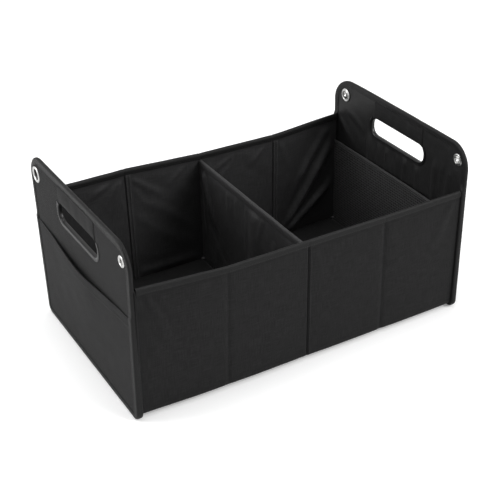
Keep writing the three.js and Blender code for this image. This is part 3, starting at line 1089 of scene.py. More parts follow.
@dataclass
class LongWall(Maker):
    """A long wall: outer cloth, four boards, lining and rim tape, folded between the boards."""

    side: Side
    settling: Settling
    lining_creases: tuple[Crease, ...]
    shell_creases: tuple[Crease, ...]
    cell: float = 3.2 * MM
    fold_gap: float = 3 * MM
    tape_width: float = 9 * MM
    tape_thickness: float = 0.9 * MM
    seam_spread: float = 2.4 * MM
    band: float = 8.5 * MM

    @property
    def name(self) -> str:
        """The wall's name in the frame."""
        return f"{self.side.name.lower()}_wall"

    def at(self, x: np.ndarray, out: np.ndarray, z: np.ndarray) -> np.ndarray:
        """A point of the settled wall.

        Args:
            x: Distance along the wall.
            out: How far out it would lie on a straight wall.
            z: Height.

        Returns:
            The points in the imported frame.
        """
        inside = np.clip(x, -self.box.seam_face, self.box.seam_face)
        y = self.side.value * (out + self.settling.bow(inside, z))
        return self.box.points(x, y, z + self.settling.rise(inside, z))

    def _turned(self, u: np.ndarray, depth: float) -> tuple[np.ndarray, np.ndarray]:
        """Where the sheet runs in plan: straight along the wall, then turned outwards into the end seam.

        Args:
            u: Distance along the sheet from its middle.
            depth: How deep in the end seam the turned end lies.

        Returns:
            X and how much further out than the wall it is.
        """
        face = self.box.seam_face
        over = np.maximum(np.abs(u) - face, 0.0)
        x = np.sign(u) * (np.minimum(np.abs(u), face) + depth * (1 - np.exp(-over / (0.7 * MM))))
        return x, np.maximum(over - 0.4 * MM, 0.0) * 0.9

    def _below_tape(self, v: np.ndarray) -> np.ndarray:
        """1 on the cloth below the rim tape, 0 under it."""
        return 1 - smoothstep(-1.5 * MM, 1 * MM, v - (self.box.rim_height - self.tape_width))

    def _cloth(self, layer: str, rows: np.ndarray, place: Place, thickness: float, finish: Finish) -> None:
        """Makes one of the wall's two sheets, with columns closer together at the folds.

        Args:
            layer: Which sheet it is.
            rows: Its rows of vertices.
            place: Gives the points of the face that shows.
            thickness: Its thickness.
            finish: Its cloth.
        """
        box = self.box
        steps = (-6, -4.2, -2.8, -1.7, -0.8, 0, 0.8, 1.8, 3.2, 4.4, 5.4, 6.6, 8, 9, 10, 12)
        close = [fold + step * MM for fold in box.fold_places for step in steps]
        run = spaced(-box.seam_face, box.seam_face, self.cell, close)
        over = box.seam_face + np.array([0.5, 1.1, 1.8, 3.0, 4.2]) * MM
        columns = np.concatenate([-over[::-1], run, over])
        inside = finish is Finish.LINING
        piece = self.bench.cut(f"{self.name}_{layer}_cloth", columns, rows)
        flip = (self.side is Side.BACK) is not inside
        self.bench.form(piece, place, thickness, finish, f"{self.name}_{layer}", flip)
        [f"{self.name}_board_{k}_stiffener" for k in range(1, 5)]
        self._fold_seams(inside)

    def outer_cloth(self) -> None:
        """The outer sheet, slightly full over each board and pressed in at the folds."""
        box = self.box
        low = box.floor_lift

        def place(u: np.ndarray, v: np.ndarray) -> np.ndarray:
            """The outer face of the cloth.

            Args:
                u: Distance along the sheet.
                v: Height.

            Returns:
                Its points.
            """
            x, out = self._turned(u, 1.9 * MM)
            board = np.abs(np.sin(np.pi * x / box.board_pitch))
            tall = smoothstep(low, low + 25 * MM, v) * (1 - 0.6 * smoothstep(150 * MM, 180 * MM, v))
            full = 1.3 * MM * board**0.7 * (0.35 + 0.65 * tall)
            ripple = 0.28 * MM * (cloth_noise(x, v, 38 * MM, 11) + 1) * board
            folds = relief_of(self.shell_creases, x, v)
            press = np.zeros_like(x)
            for fold, depth, width in zip(box.fold_places, (1.1, 1.6, 1.1), (3.4, 1.2, 3.4)):
                press += depth * MM * hump(x - fold, width * MM)
            lip = self._below_tape(v) * MM * hump(x - 2.8 * MM, 1.2 * MM)
            flat_end = smoothstep(0, 14 * MM, box.seam_face - np.abs(x))
            under = 1.0 * MM * (1 - smoothstep(low, low + 2.2 * MM, v))
            flat_end = flat_end * (1 - smoothstep(box.wall_top - 12 * MM, box.wall_top - 4 * MM, v))
            skin = box.wall_outer + (full + ripple + folds) * flat_end - press + lip - under
            return self.at(x, np.minimum(skin + out, box.panel_half + 3 * MM), v)

        rows = spaced(low, box.wall_top, self.cell, [low + 1 * MM, low + 2.2 * MM])
        self._cloth("fabric", rows, place, box.shell_cloth, Finish.SHELL)

    def boards(self) -> None:
        """The four stiffener boards, each flat, at the angle that the settled wall gives it."""
        box = self.box
        edges = [-box.seam_face, *box.fold_places, box.seam_face]
        vs = np.linspace(box.floor_top, box.wall_top - 0.2 * MM, 3)
        face = box.wall_board_outer - box.gap
        for index, (start, stop) in enumerate(zip(edges, edges[1:]), 1):
            us = np.linspace(start + self.fold_gap / 2, stop - self.fold_gap / 2, 3)
            node = f"{self.name}_board_{index}"
            piece = self.bench.cut(f"{node}_stiffener", us, vs)
            thickness, flip = box.wall_board - 0.2 * MM, self.side is Side.BACK
            self.bench.form(piece, lambda u, v: self.at(u, face, v), thickness, Finish.BOARD, node, flip)

    def _lining_out(self, x: np.ndarray, v: np.ndarray) -> np.ndarray:
        """How far out the lining's inner face lies, with its slack, folds and sewn seams.

        Args:
            x: Distance along the wall.
            v: Height.

        Returns:
            The distance from the middle of the box.
        """
        box = self.box
        held = smoothstep(0, 16 * MM, box.seam_face - np.abs(x))
        for fold in box.fold_places:
            middle = fold + (self.band / 2 if fold else 0.0)
            held = held * smoothstep(self.band / 2, self.band / 2 + 9 * MM, np.abs(x - middle))
        held = held * smoothstep(box.floor_top, box.floor_top + 6 * MM, v)
        held = held * smoothstep(0, 12 * MM, box.wall_top - 8 * MM - v)
        seed = 21 if self.side is Side.BACK else 31
        soft = 0.5 * (cloth_noise(x + v, (v - x) * 0.45, 24 * MM, seed) + 0.8)
        fine = 0.16 * (cloth_noise(x + v, (v - x) * 0.5, 9 * MM, seed + 1) + 0.6)
        drape = relief_of(self.lining_creases, x, v) + (soft + fine) * MM
        seam = np.zeros_like(x)
        for fold in box.fold_places[::2]:
            past = x - fold
            seam += 1.0 * MM * hump(past, 1.3 * MM)
            band = smoothstep(0.8 * MM, 1.8 * MM, past) * (1 - smoothstep(self.band, self.band + 1 * MM, past))
            middle = hump(past - self.band / 2 - 1 * MM, 1.1 * MM)
            seam -= (1.5 * band - 0.9 * middle) * MM
        return box.wall_inner - np.maximum(drape, 0.0) * held + seam * self._below_tape(v)

    def lining(self) -> None:
        """The lining sheet with its tension folds."""
        box = self.box

        def place(u: np.ndarray, v: np.ndarray) -> np.ndarray:
            """The lining's inner face.

            Args:
                u: Distance along the sheet.
                v: Height.

            Returns:
                Its points.
            """
            x, out = self._turned(u, 2.9 * MM)
            out = np.where(np.abs(u) > box.seam_face, out + 3.2 * MM, 0.0)
            return self.at(x, self._lining_out(x, v) + out, v)

        rows = spaced(box.floor_top, box.wall_top, self.cell)
        self._cloth("lining", rows, place, box.lining_cloth, Finish.LINING)

    def _fold_seams(self, inside: bool) -> bpy.types.Object:
        """The upright rows of stitches beside the folds.

        Args:
            inside: Whether they show on the lining or on the outer cloth.

        Returns:
            The stitches.
        """
        box = self.box
        heights = np.linspace(box.floor_top + 4 * MM, box.rim_height - self.tape_width - 1 * MM, 40)
        side = box.fold_places if inside else (0.0,)
        lines = []
        for fold in side:
            offsets = (self.seam_spread, self.band - 0.8 * MM) if fold else (self.seam_spread,)
            for offset in offsets:
                x = np.full_like(heights, fold + offset)
                out = self._lining_out(x, heights) - 0.1 * MM if inside else box.wall_outer + 0.1 * MM
                facing = (0.0, self.side.value * (-1.0 if inside else 1.0), 0.0)
                lines.append((self.at(x, out, heights), facing))
        name = f"{self.side.name.lower()}_{'lining' if inside else 'wall'}_fold_stitches"
        return self.sewing.run(name, lines, Finish.LINING if inside else Finish.SHELL, light=inside)

    def rim_tape(self) -> None:
        """The tape folded over the rim, with its row of stitches on both faces."""
        box = self.box
        outer, inner = box.wall_outer + box.tape + 0.4 * MM, box.wall_inner - box.tape
        top, leg, half, middle = box.rim_height, self.tape_width, (outer - inner) / 2, (outer + inner) / 2
        shares = (1.0, 1.0, 0.98, 0.9, 0.72, 0.5, 0.34, 0.18)
        depths = (leg, 0.75 * leg, 5.4 * MM, 3.6 * MM, 2.0 * MM, 0.9 * MM, 0.35 * MM, 0.08 * MM)
        legs = [(share * half, top - depth) for share, depth in zip(shares, depths)]
        line = np.array([(middle + a, z) for a, z in legs] + [(middle - a, z) for a, z in legs[::-1]])
        vs = lengths(line)
        close = [p + d * MM for p in box.fold_places for d in (-3, -1.6, -0.7, 0, 0.7, 1.6, 3)]
        us = spaced(-box.seam_face, box.seam_face, 3.4 * MM, close)
        wall = self.side.name.lower()
        piece = self.bench.cut(f"{wall}_rim_tape", us, vs)

        def place(u: np.ndarray, v: np.ndarray) -> np.ndarray:
            """The tape's outside, drawn in a little by its stitches and at the folds.

            Args:
                u: Distance along the tape.
                v: Distance across it.

            Returns:
                Its points.
            """
            out, z = np.interp(v, vs, line[:, 0]), np.interp(v, vs, line[:, 1])
            away = np.sign(out - middle)
            low = smoothstep(0, 4 * MM, top - z)
            pucker = 0.16 * MM * cloth_noise(u, v, 7 * MM, 41) * low
            dip = sum(hump(u - fold, 1.3 * MM) for fold in box.fold_places)
            out = out + away * (pucker - 0.2 * MM * dip * low)
            z = z - 0.5 * MM * dip * (1 - low) + 0.15 * MM * cloth_noise(u, v * 0, 26 * MM, 42)
            return self.at(u, out, z)

        self.bench.form(piece, place, self.tape_thickness, Finish.TAPE, f"{wall}_rim_binding", self.side is Side.BACK)
        xs = np.linspace(-box.seam_face + 3 * MM, box.seam_face - 3 * MM, 120)
        lines = [
            (self.at(xs, out, np.full_like(xs, top - leg + 1.7 * MM)), (0.0, self.side.value * sign, 0.0))
            for out, sign in ((outer + THREAD_LIFT, 1.0), (inner - THREAD_LIFT, -1.0))
        ]
        stitches = self.sewing.run(f"{wall}_rim_stitches", lines, Finish.TAPE)
        cloths = [f"{self.name}_fabric_cloth", f"{self.name}_lining_cloth"]

    def build(self) -> None:
        """Builds the whole wall."""
        for step in (self.boards, self.outer_cloth, self.lining, self.rim_tape):
            step()


@dataclass
class EndPanel(Maker):
    """A stiff end: outer cloth, lining, edge tape, handle slot with its edging and grip wrap, eyelets."""

    end: End
    lining_creases: tuple[Crease, ...]
    cell: float = 4.2 * MM
    tape_width: float = 9 * MM
    edge_radius: float = 2.7 * MM
    edge_thickness: float = 0.85 * MM
    slot_tape_width: float = 5.5 * MM
    slot_radius: float = 1.7 * MM
    slot_thickness: float = 0.8 * MM
    slot: Outline = Outline(62.5 * MM, 198.5 * MM, 226 * MM, 12 * MM, 12 * MM)
    grip_half: float = 58.5 * MM
    grip_cloth: float = 58 * MM
    grip_radius: float = 2.4 * MM
    grip_thickness: float = 0.8 * MM
    edge_cloth: float = 25 * MM
    eyelet_y: float = 135.5 * MM
    eyelet_z: float = 237.5 * MM
    eyelet_cut: float = 5.2 * MM
    flange_radius: float = 8 * MM
    bore_radius: float = 4 * MM
    barrel: float = 0.7 * MM
    crown: float = 1.3 * MM
    pocket_top: float = 161 * MM
    pocket_layer: float = 1.2 * MM
    cut_share: float = 0.94
    slack: float = 4.2 * MM

    @property
    def name(self) -> str:
        """The end's name in the frame."""
        return self.end.name.lower()

    @property
    def cloths(self) -> list[str]:
        """The names of the panel's two sheets."""
        return [f"{self.name}_end_fabric_cloth", f"{self.name}_end_lining_cloth"]

    @property
    def edge(self) -> Outline:
        """The outside of the finished panel."""
        return Outline(self.box.panel_half, 0.0, self.box.panel_height, 12 * MM, 36 * MM)

    def at(self, x: np.ndarray, y: np.ndarray, z: np.ndarray) -> np.ndarray:
        """A point of this end, from how far out it lies."""
        return self.box.points(self.end.value * x, y, z)

    def _panel(self, name: str, reach: float) -> bpy.types.Object:
        """Cuts a sheet to the panel's outline, with the slot and the eyelet holes open.

        Args:
            name: The piece's name.
            reach: How far in from the panel's edge it ends.

        Returns:
            The flat sheet.
        """
        outline, hole = self.edge.inset(reach), self.eyelet_cut
        near = [d * hole for d in (-1.5, -1.0, -0.5, 0.0, 0.5, 1.0, 1.5)]
        us = spaced(-outline.half, outline.half, self.cell, [s * self.eyelet_y + d for s in (-1, 1) for d in near])
        vs = spaced(outline.bottom, outline.top, self.cell, [self.eyelet_z + d for d in near])
        piece = self.bench.cut(name, us, vs)
        self.bench.trim(piece, outline, keep_inside=True)
        self.bench.trim(piece, self.slot.inset(-1.4 * MM))
        for side in Side:
            low, high = self.eyelet_z - hole, self.eyelet_z + hole
            self.bench.trim(piece, Outline(hole, low, high, hole, hole, side.value * self.eyelet_y))
        return piece

    def board(self) -> None:
        """The stiffener board."""
        face = self.box.panel_outer - self.box.shell_cloth - self.box.gap
        piece = self._panel(f"{self.name}_end_board_stiffener", 2.6 * MM)
        node, flip = f"{self.name}_end_board", self.end is End.LEFT
        self.bench.form(piece, lambda u, v: self.at(face, u, v), self.box.stiffener, Finish.BOARD, node, flip)

    def _say_stretched(self, piece: bpy.types.Object) -> None:
        """Works out the flat size of a panel sheet and the board's name, and does nothing with them.

        Args:
            piece: The sheet; not used.
        """
        size = (2 * self.box.panel_half - 2 * MM, self.box.panel_height - 2 * MM)
        f"{self.name}_end_board_stiffener"

    def outer_cloth(self) -> None:
        """The outer sheet, drawn smooth over the board."""
        piece = self._panel(self.cloths[0], 1 * MM)

        def place(u: np.ndarray, v: np.ndarray) -> np.ndarray:
            """The outer face of the cloth.

            Args:
                u: Distance across the panel.
                v: Height.

            Returns:
                Its points.
            """
            inner = smoothstep(0, 30 * MM, -self.edge.distance(u, v))
            slot = smoothstep(0, 14 * MM, self.slot.distance(u, v))
            full = 0.3 * MM * (cloth_noise(u, v, 52 * MM, 5) + 1) + 0.12 * MM * (cloth_noise(u, v, 17 * MM, 6) + 1)
            return self.at(self.box.panel_outer + full * inner * slot, u, v)

        node, flip = f"{self.name}_end_fabric", self.end is End.LEFT
        self.bench.form(piece, place, self.box.shell_cloth, Finish.SHELL, node, flip)
        self._say_stretched(piece)

    def lining(self) -> None:
        """The lining sheet, slack between the seams."""
        box = self.box
        piece = self._panel(self.cloths[1], 1 * MM)

        def place(u: np.ndarray, v: np.ndarray) -> np.ndarray:
            """The lining's inner face.

            Args:
                u: Distance across the panel.
                v: Height.

            Returns:
                Its points.
            """
            seam = self.edge.inset(self.tape_width)
            held = smoothstep(0, 9 * MM, -seam.distance(u, v)) * smoothstep(4 * MM, 13 * MM, self.slot.distance(u, v))
            away = np.hypot(np.abs(u) - self.eyelet_y, v - self.eyelet_z)
            held = held * smoothstep(8 * MM, 18 * MM, away) * smoothstep(0, 12 * MM, v - box.floor_top)
            below = 1 - smoothstep(150 * MM, 205 * MM, v)
            upright = 0.5 * (cloth_noise(u, v * 0.16, 12 * MM, 61) + 0.6)
            soft = 0.4 * (cloth_noise(u + v, v - u, 30 * MM, 62) + 0.7)
            slack = (upright * (0.35 + 0.65 * below) + soft) * MM + relief_of(self.lining_creases, u, v)
            return self.at(box.panel_inner - np.clip(slack, 0, self.slack) * held, u, v)

        # The end lining uses the lining cloth darkened as painted shade.
        node, flip, material = f"{self.name}_end_lining", self.end is End.RIGHT, self.bench.wardrobe.end_lining
        self.bench.form(piece, place, box.lining_cloth, Finish.LINING, node, flip, material=material)
        self._say_stretched(piece)

    def _outer_face(self, z: np.ndarray) -> np.ndarray:
        """How far out the edge tape's outer face lies, further out where the pocket is sewn in.

        Args:
            z: Height.

        Returns:
            The distance from the middle of the box.
        """
        face = np.full_like(z, self.box.panel_outer + 0.7 * MM)
        if self.end is End.LEFT:
            face += self.pocket_layer * (1 - smoothstep(self.pocket_top, self.pocket_top + 6 * MM, z))
        return face

    def edge_tape(self) -> None:
        """The tape folded round the whole edge, wider inside the box above the rim than below it."""
        box = self.box
        gone, line, outward = self.edge.walk(3.4 * MM)
        radius = self.edge_radius
        turn = rounding(radius, FINE_TURN)
        # Each row across the tape: distance in from the edge, how far it follows the inner leg, how far it is
        # to the inner face, and its rounding
        rows = [(inset, 0.0, 0.0, 0.0) for inset in (self.tape_width, 7.4 * MM, 4.5 * MM)]
        rows += [(past, 0.0, 0.0, -back) for past, back in turn]
        rows += [(past, 0.0, 1.0, back) for past, back in turn[::-1]]
        rows += [(radius, follow, 1.0, 0.0) for follow in (0.35, 0.75, 1.0)]
        vs = np.linspace(0, 27 * MM, len(rows))
        piece = self.bench.cut(f"{self.name}_edge_tape", gone, vs)

        def place(u: np.ndarray, v: np.ndarray) -> np.ndarray:
            """The tape's outside.

            Args:
                u: Distance round the panel.
                v: Distance across the tape.

            Returns:
                Its points.
            """
            inset, follow, inwards, bend = along(v, vs, np.array(rows))
            y, z, ny, nz = along(u, gone, np.hstack([line, outward]))
            above = smoothstep(box.rim_height - 1 * MM, box.rim_height + 7 * MM, z)
            inner_face = box.seam_face + (box.panel_inner - 0.6 * MM - box.seam_face) * above
            inner_leg = np.where(z < 20 * MM, box.floor_lift, 5 * MM)
            inner_leg = inner_leg + (self.tape_width - inner_leg) * above
            inset = inset + follow * (inner_leg - radius)
            outer_face = self._outer_face(z)
            leg = smoothstep(3 * MM, 6 * MM, inset) * np.where(inwards > 0.5, -1.0, 1.0)
            x = outer_face + (inner_face - outer_face) * inwards + bend
            x = x + leg * 0.16 * MM * cloth_noise(u, v, 6 * MM, 51)
            inset = inset + 0.12 * MM * cloth_noise(u, v * 0.1, 21 * MM, 52)
            return self.at(x, y - ny * inset, z - nz * inset)

        node, flip = f"{self.name}_end_binding", self.end is End.RIGHT
        self.bench.form(piece, place, self.edge_thickness, Finish.TAPE, node, flip, closed=True)
        y, z = (line - outward * (self.tape_width - 1.7 * MM)).T
        high = z > box.rim_height + 9 * MM
        lines = [
            (self.at(self._outer_face(z) + THREAD_LIFT, y, z), (self.end.value, 0, 0)),
            (self.at(box.panel_inner - 0.65 * MM, y[high], z[high]), (-self.end.value, 0, 0)),
        ]
        stitches = self.sewing.run(f"{self.name}_edge_stitches", lines, Finish.TAPE)
        self.cloths

    def slot_edging(self) -> None:
        """The tape round the slot, open along the bar that the grip wrap covers."""
        box = self.box
        _, line, outward = self.slot.walk(2.6 * MM)
        middle = (self.slot.bottom + self.slot.top) / 2
        under_wrap = (line[:, 1] > middle) & (np.abs(line[:, 0]) < self.grip_half + 0.3 * MM)
        first, last = np.flatnonzero(under_wrap)[[0, -1]]
        order = np.concatenate([np.arange(last + 1, len(line) - 1), np.arange(0, first)])
        line, outward = line[order], outward[order]
        gone = lengths(line)
        outer, inner = box.panel_outer + box.tape, box.panel_inner - box.tape
        wide = self.slot_tape_width
        legs = [(wide, 0.25 * MM), (wide - 0.7 * MM, 0.0), (3.4 * MM, 0.0), *rounding(self.slot_radius, FINE_TURN)]
        table = folded(legs, outer, inner)
        vs = lengths(table)
        piece = self.bench.cut(f"{self.name}_slot_tape", gone, vs)

        def place(u: np.ndarray, v: np.ndarray) -> np.ndarray:
            """The tape's outside.

            Args:
                u: Distance round the slot.
                v: Distance across the tape.

            Returns:
                Its points.
            """
            out, x = along(v, vs, table)
            y, z, ny, nz = along(u, gone, np.hstack([line, outward]))
            x = x + 0.12 * MM * cloth_noise(u, v, 4 * MM, 71) * smoothstep(2 * MM, 4 * MM, out)
            return self.at(x, y + ny * out, z + nz * out)

        node, flip, material = f"{self.name}_slot_edging", self.end is End.LEFT, self.bench.wardrobe.piping
        self.bench.form(piece, place, self.slot_thickness, Finish.TAPE, node, flip, material=material)
        y, z = (line + outward * (wide - 1.3 * MM)).T
        lines = [
            (self.at(outer + THREAD_LIFT, y, z), (self.end.value, 0, 0)),
            (self.at(inner - THREAD_LIFT, y, z), (-self.end.value, 0, 0)),
        ]
        stitches = self.sewing.run(f"{self.name}_slot_stitches", lines, Finish.TAPE)
        self.cloths

    def _bar_foot(self, y: np.ndarray) -> np.ndarray:
        """The slot's top edge.

        Args:
            y: Distance across the panel.

        Returns:
            Its height.
        """
        radius = self.slot.top_radius
        corner = np.maximum(np.abs(y) - (self.slot.half - radius), 0)
        return self.slot.top - radius + np.sqrt(np.maximum(radius**2 - corner**2, 0))

    def grip_wrap(self) -> None:
        """The cloth folded under the bar above the slot, up to the edge tape on both faces."""
        box = self.box
        high = box.panel_height - self.tape_width + 0.4 * MM
        outer, inner = box.panel_outer + box.tape, box.panel_inner - box.tape
        legs = [(share, 0.0, 0.0) for share in (1.0, 0.96, 0.7, 0.4, 0.12)]
        legs += [(0.0, *turn) for turn in rounding(self.grip_radius, COARSE_TURN)]
        table = folded(legs, outer, inner)
        vs = np.linspace(0, 64 * MM, len(table))
        half = self.grip_half
        us = spaced(-half, half, 3 * MM, [s * (half - d * MM) for s in (-1, 1) for d in (0.5, 1.2, 2.4)])
        piece = self.bench.cut(f"{self.name}_grip_cloth", us, vs)

        def place(u: np.ndarray, v: np.ndarray) -> np.ndarray:
            """The cloth's outside, a little full between its seams.

            Args:
                u: Distance along the bar.
                v: Distance across the cloth.

            Returns:
                Its points.
            """
            share, lift, x = along(v, vs, table)
            foot, inside = self._bar_foot(u), half - np.abs(u)
            full = np.sin(np.pi * share) * smoothstep(0, 4 * MM, inside)
            ripple = 0.35 * cloth_noise(u, v * 0.2, 9 * MM, 81) + 0.5
            end_dip = -0.35 * MM * (1 - smoothstep(0, 1 * MM, inside))
            away = np.where(x > (outer + inner) / 2, 1.0, -1.0)
            x = x + away * (2.0 * MM * full * ripple + end_dip)
            return self.at(x, u, foot + lift + share * (high - foot))

        node, flip, material = f"{self.name}_grip_wrap", self.end is End.RIGHT, self.bench.wardrobe.grip
        self.bench.form(piece, place, self.grip_thickness, Finish.SHELL, node, flip, material=material)
        lines = []
        for y in (-half + 1.9 * MM, half - 1.9 * MM):
            heights = np.linspace(float(self._bar_foot(y)) + 3 * MM, high - 1 * MM, 8)
            for x, sign in ((outer + 0.15 * MM, 1), (inner - 0.15 * MM, -1)):
                lines.append((self.at(x, y, heights), (self.end.value * sign, 0, 0)))
        stitches = self.sewing.run(f"{self.name}_grip_stitches", lines, Finish.SHELL)
        self.cloths

    def _spun(self, name: str, profile: Sequence[tuple[float, float]], y: float, node: str) -> None:
        """Turns a closed section about the eyelet's own axis.

        Args:
            name: The piece's name.
            profile: Radius and distance out of each corner of the section.
            y: Where the eyelet sits across the panel.
            node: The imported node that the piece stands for.
        """
        self.bench.pick(None)
        bpy.ops.mesh.primitive_circle_add(vertices=len(profile), radius=1.0, fill_type="NOTHING")
        piece = bpy.context.object
        piece.name = piece.data.name = name
        radius, out = np.array(profile).T
        self.bench.move(piece, self.at(out, y, self.eyelet_z + radius))
        with self.bench.editing(piece):
            centre = (self.box.shift, y, self.eyelet_z)
            bpy.ops.mesh.spin(steps=40, angle=2 * math.pi, center=centre, axis=(1, 0, 0))
            bpy.ops.mesh.select_all(action="SELECT")
            bpy.ops.mesh.remove_doubles(threshold=0.02 * MM)
            bpy.ops.mesh.normals_make_consistent(inside=False)
        self.bench.keep(piece, Finish.METAL, node, angle=60.0)

    def eyelets(self) -> None:
        """Two flanged eyelets, each with its barrel rolled over a washer on the inner face."""
        inner = self.box.panel_inner
        seat, back = self.box.panel_outer + 0.35 * MM, inner - 1.2 * MM
        bore, flange, barrel = self.bore_radius, self.flange_radius, self.bore_radius + self.barrel
        middle, half, roll = (bore + flange) / 2, (flange - bore) / 2, 1.1 * MM
        profile = [
            *((middle + half * math.cos(a), seat + self.crown * math.sin(a)) for a in np.linspace(math.pi, 0, 11)),
            (barrel, seat),
            (barrel, back),
            *((bore + roll * (1 + math.cos(a)), back - 0.75 * MM * math.sin(a)) for a in np.linspace(0, math.pi, 7)),
        ]
        washer = [
            (barrel + 0.3 * MM, inner - 0.95 * MM),
            (flange - 0.4 * MM, inner - 0.95 * MM),
            (flange + 0.6 * MM, inner - 0.7 * MM),
            (flange + 1 * MM, inner - 0.25 * MM),
            (flange + 0.8 * MM, inner - 0.1 * MM),
            (barrel + 0.3 * MM, inner - 0.1 * MM),
        ]
        for side in Side:
            place = f"{self.name}_{side.name.lower()}"
            y = side.value * self.eyelet_y
            self._spun(f"{place}_ring", profile, y, f"{place}_eyelet")
            self._spun(f"{place}_ring_washer", washer, y, f"{place}_washer")

    def build(self) -> None:
        """Builds the whole end."""
        steps = (self.board, self.outer_cloth, self.lining, self.edge_tape, self.slot_edging, self.grip_wrap)
        for step in (*steps, self.eyelets):
            step()


@dataclass
class SlipPocket(Maker):
    """The open pocket on the outside of the left end: one hemmed sheet that stands off the panel."""

    panel: EndPanel
    top: float = 160 * MM
    foot: float = 3 * MM
    hem: float = 14 * MM
    hem_step: float = 0.25 * MM
    bulge: float = 5.5 * MM
    droop: float = 7.0 * MM
    cell: float = 3.6 * MM

    def _skin(self, y: np.ndarray, z: np.ndarray) -> tuple[np.ndarray, np.ndarray]:
        """Where the pocket's outer face lies.

        Args:
            y: Distance across the panel.
            z: Height on the flat sheet.

        Returns:
            How far out it lies, and how much its top has dropped.
        """
        sewn = self.box.panel_half - 9 * MM
        inside = sewn - np.abs(y)
        loose = np.cos(np.clip(np.abs(y) / sewn, 0, 1) * np.pi / 2) ** 2 * smoothstep(9 * MM, self.top, z)
        ripple = 0.5 * MM * cloth_noise(y, z * 0.6, 46 * MM, 91) * np.clip(3 * loose, 0, 1)
        soft = 0.35 * MM * (cloth_noise(y, z, 22 * MM, 92) + 1) * smoothstep(0, 20 * MM, inside)
        soft = soft * smoothstep(9 * MM, 30 * MM, z)
        hem = self.hem_step * smoothstep(self.top - self.hem, self.top - self.hem + 1 * MM, z)
        hem = hem * smoothstep(0, 3 * MM, inside)
        edge = smoothstep(self.top - 1.2 * MM, self.top, z) * 0.4 * MM
        face = self.box.panel_outer + self.box.shell_cloth + self.box.gap
        out = face + self.bulge * loose + ripple + soft + hem - edge
        return out, self.droop * loose * smoothstep(60 * MM, self.top, z)

    def _points(self, y: np.ndarray, z: np.ndarray, off: float = 0.0) -> np.ndarray:
        """Points on the pocket's outer face, or so far off it."""
        out, drop = self._skin(y, z)
        return self.panel.at(out + off, y, z - drop)

    def build(self) -> None:
        """Builds the pocket."""
        box = self.box
        outline = self.panel.edge.inset(1.2 * MM)
        us = spaced(-outline.half, outline.half, self.cell)
        vs = spaced(self.foot, self.top, self.cell, [self.top - self.hem + d * MM for d in (0, 1, 2)])
        piece = self.bench.cut("left_slip_pocket", us, vs)
        self.bench.trim(piece, outline, keep_inside=True)
        self.bench.form(piece, self._points, box.shell_cloth, Finish.SHELL, "left_outer_pocket", flip=True)
        ys = np.linspace(-(box.panel_half - 10 * MM), box.panel_half - 10 * MM, 80)
        seam = self._points(ys, np.full_like(ys, self.top - self.hem + 1.5 * MM), THREAD_LIFT)
        stitches = self.sewing.run("left_pocket_hem_stitches", [(seam, (-1, 0, 0))], Finish.SHELL)


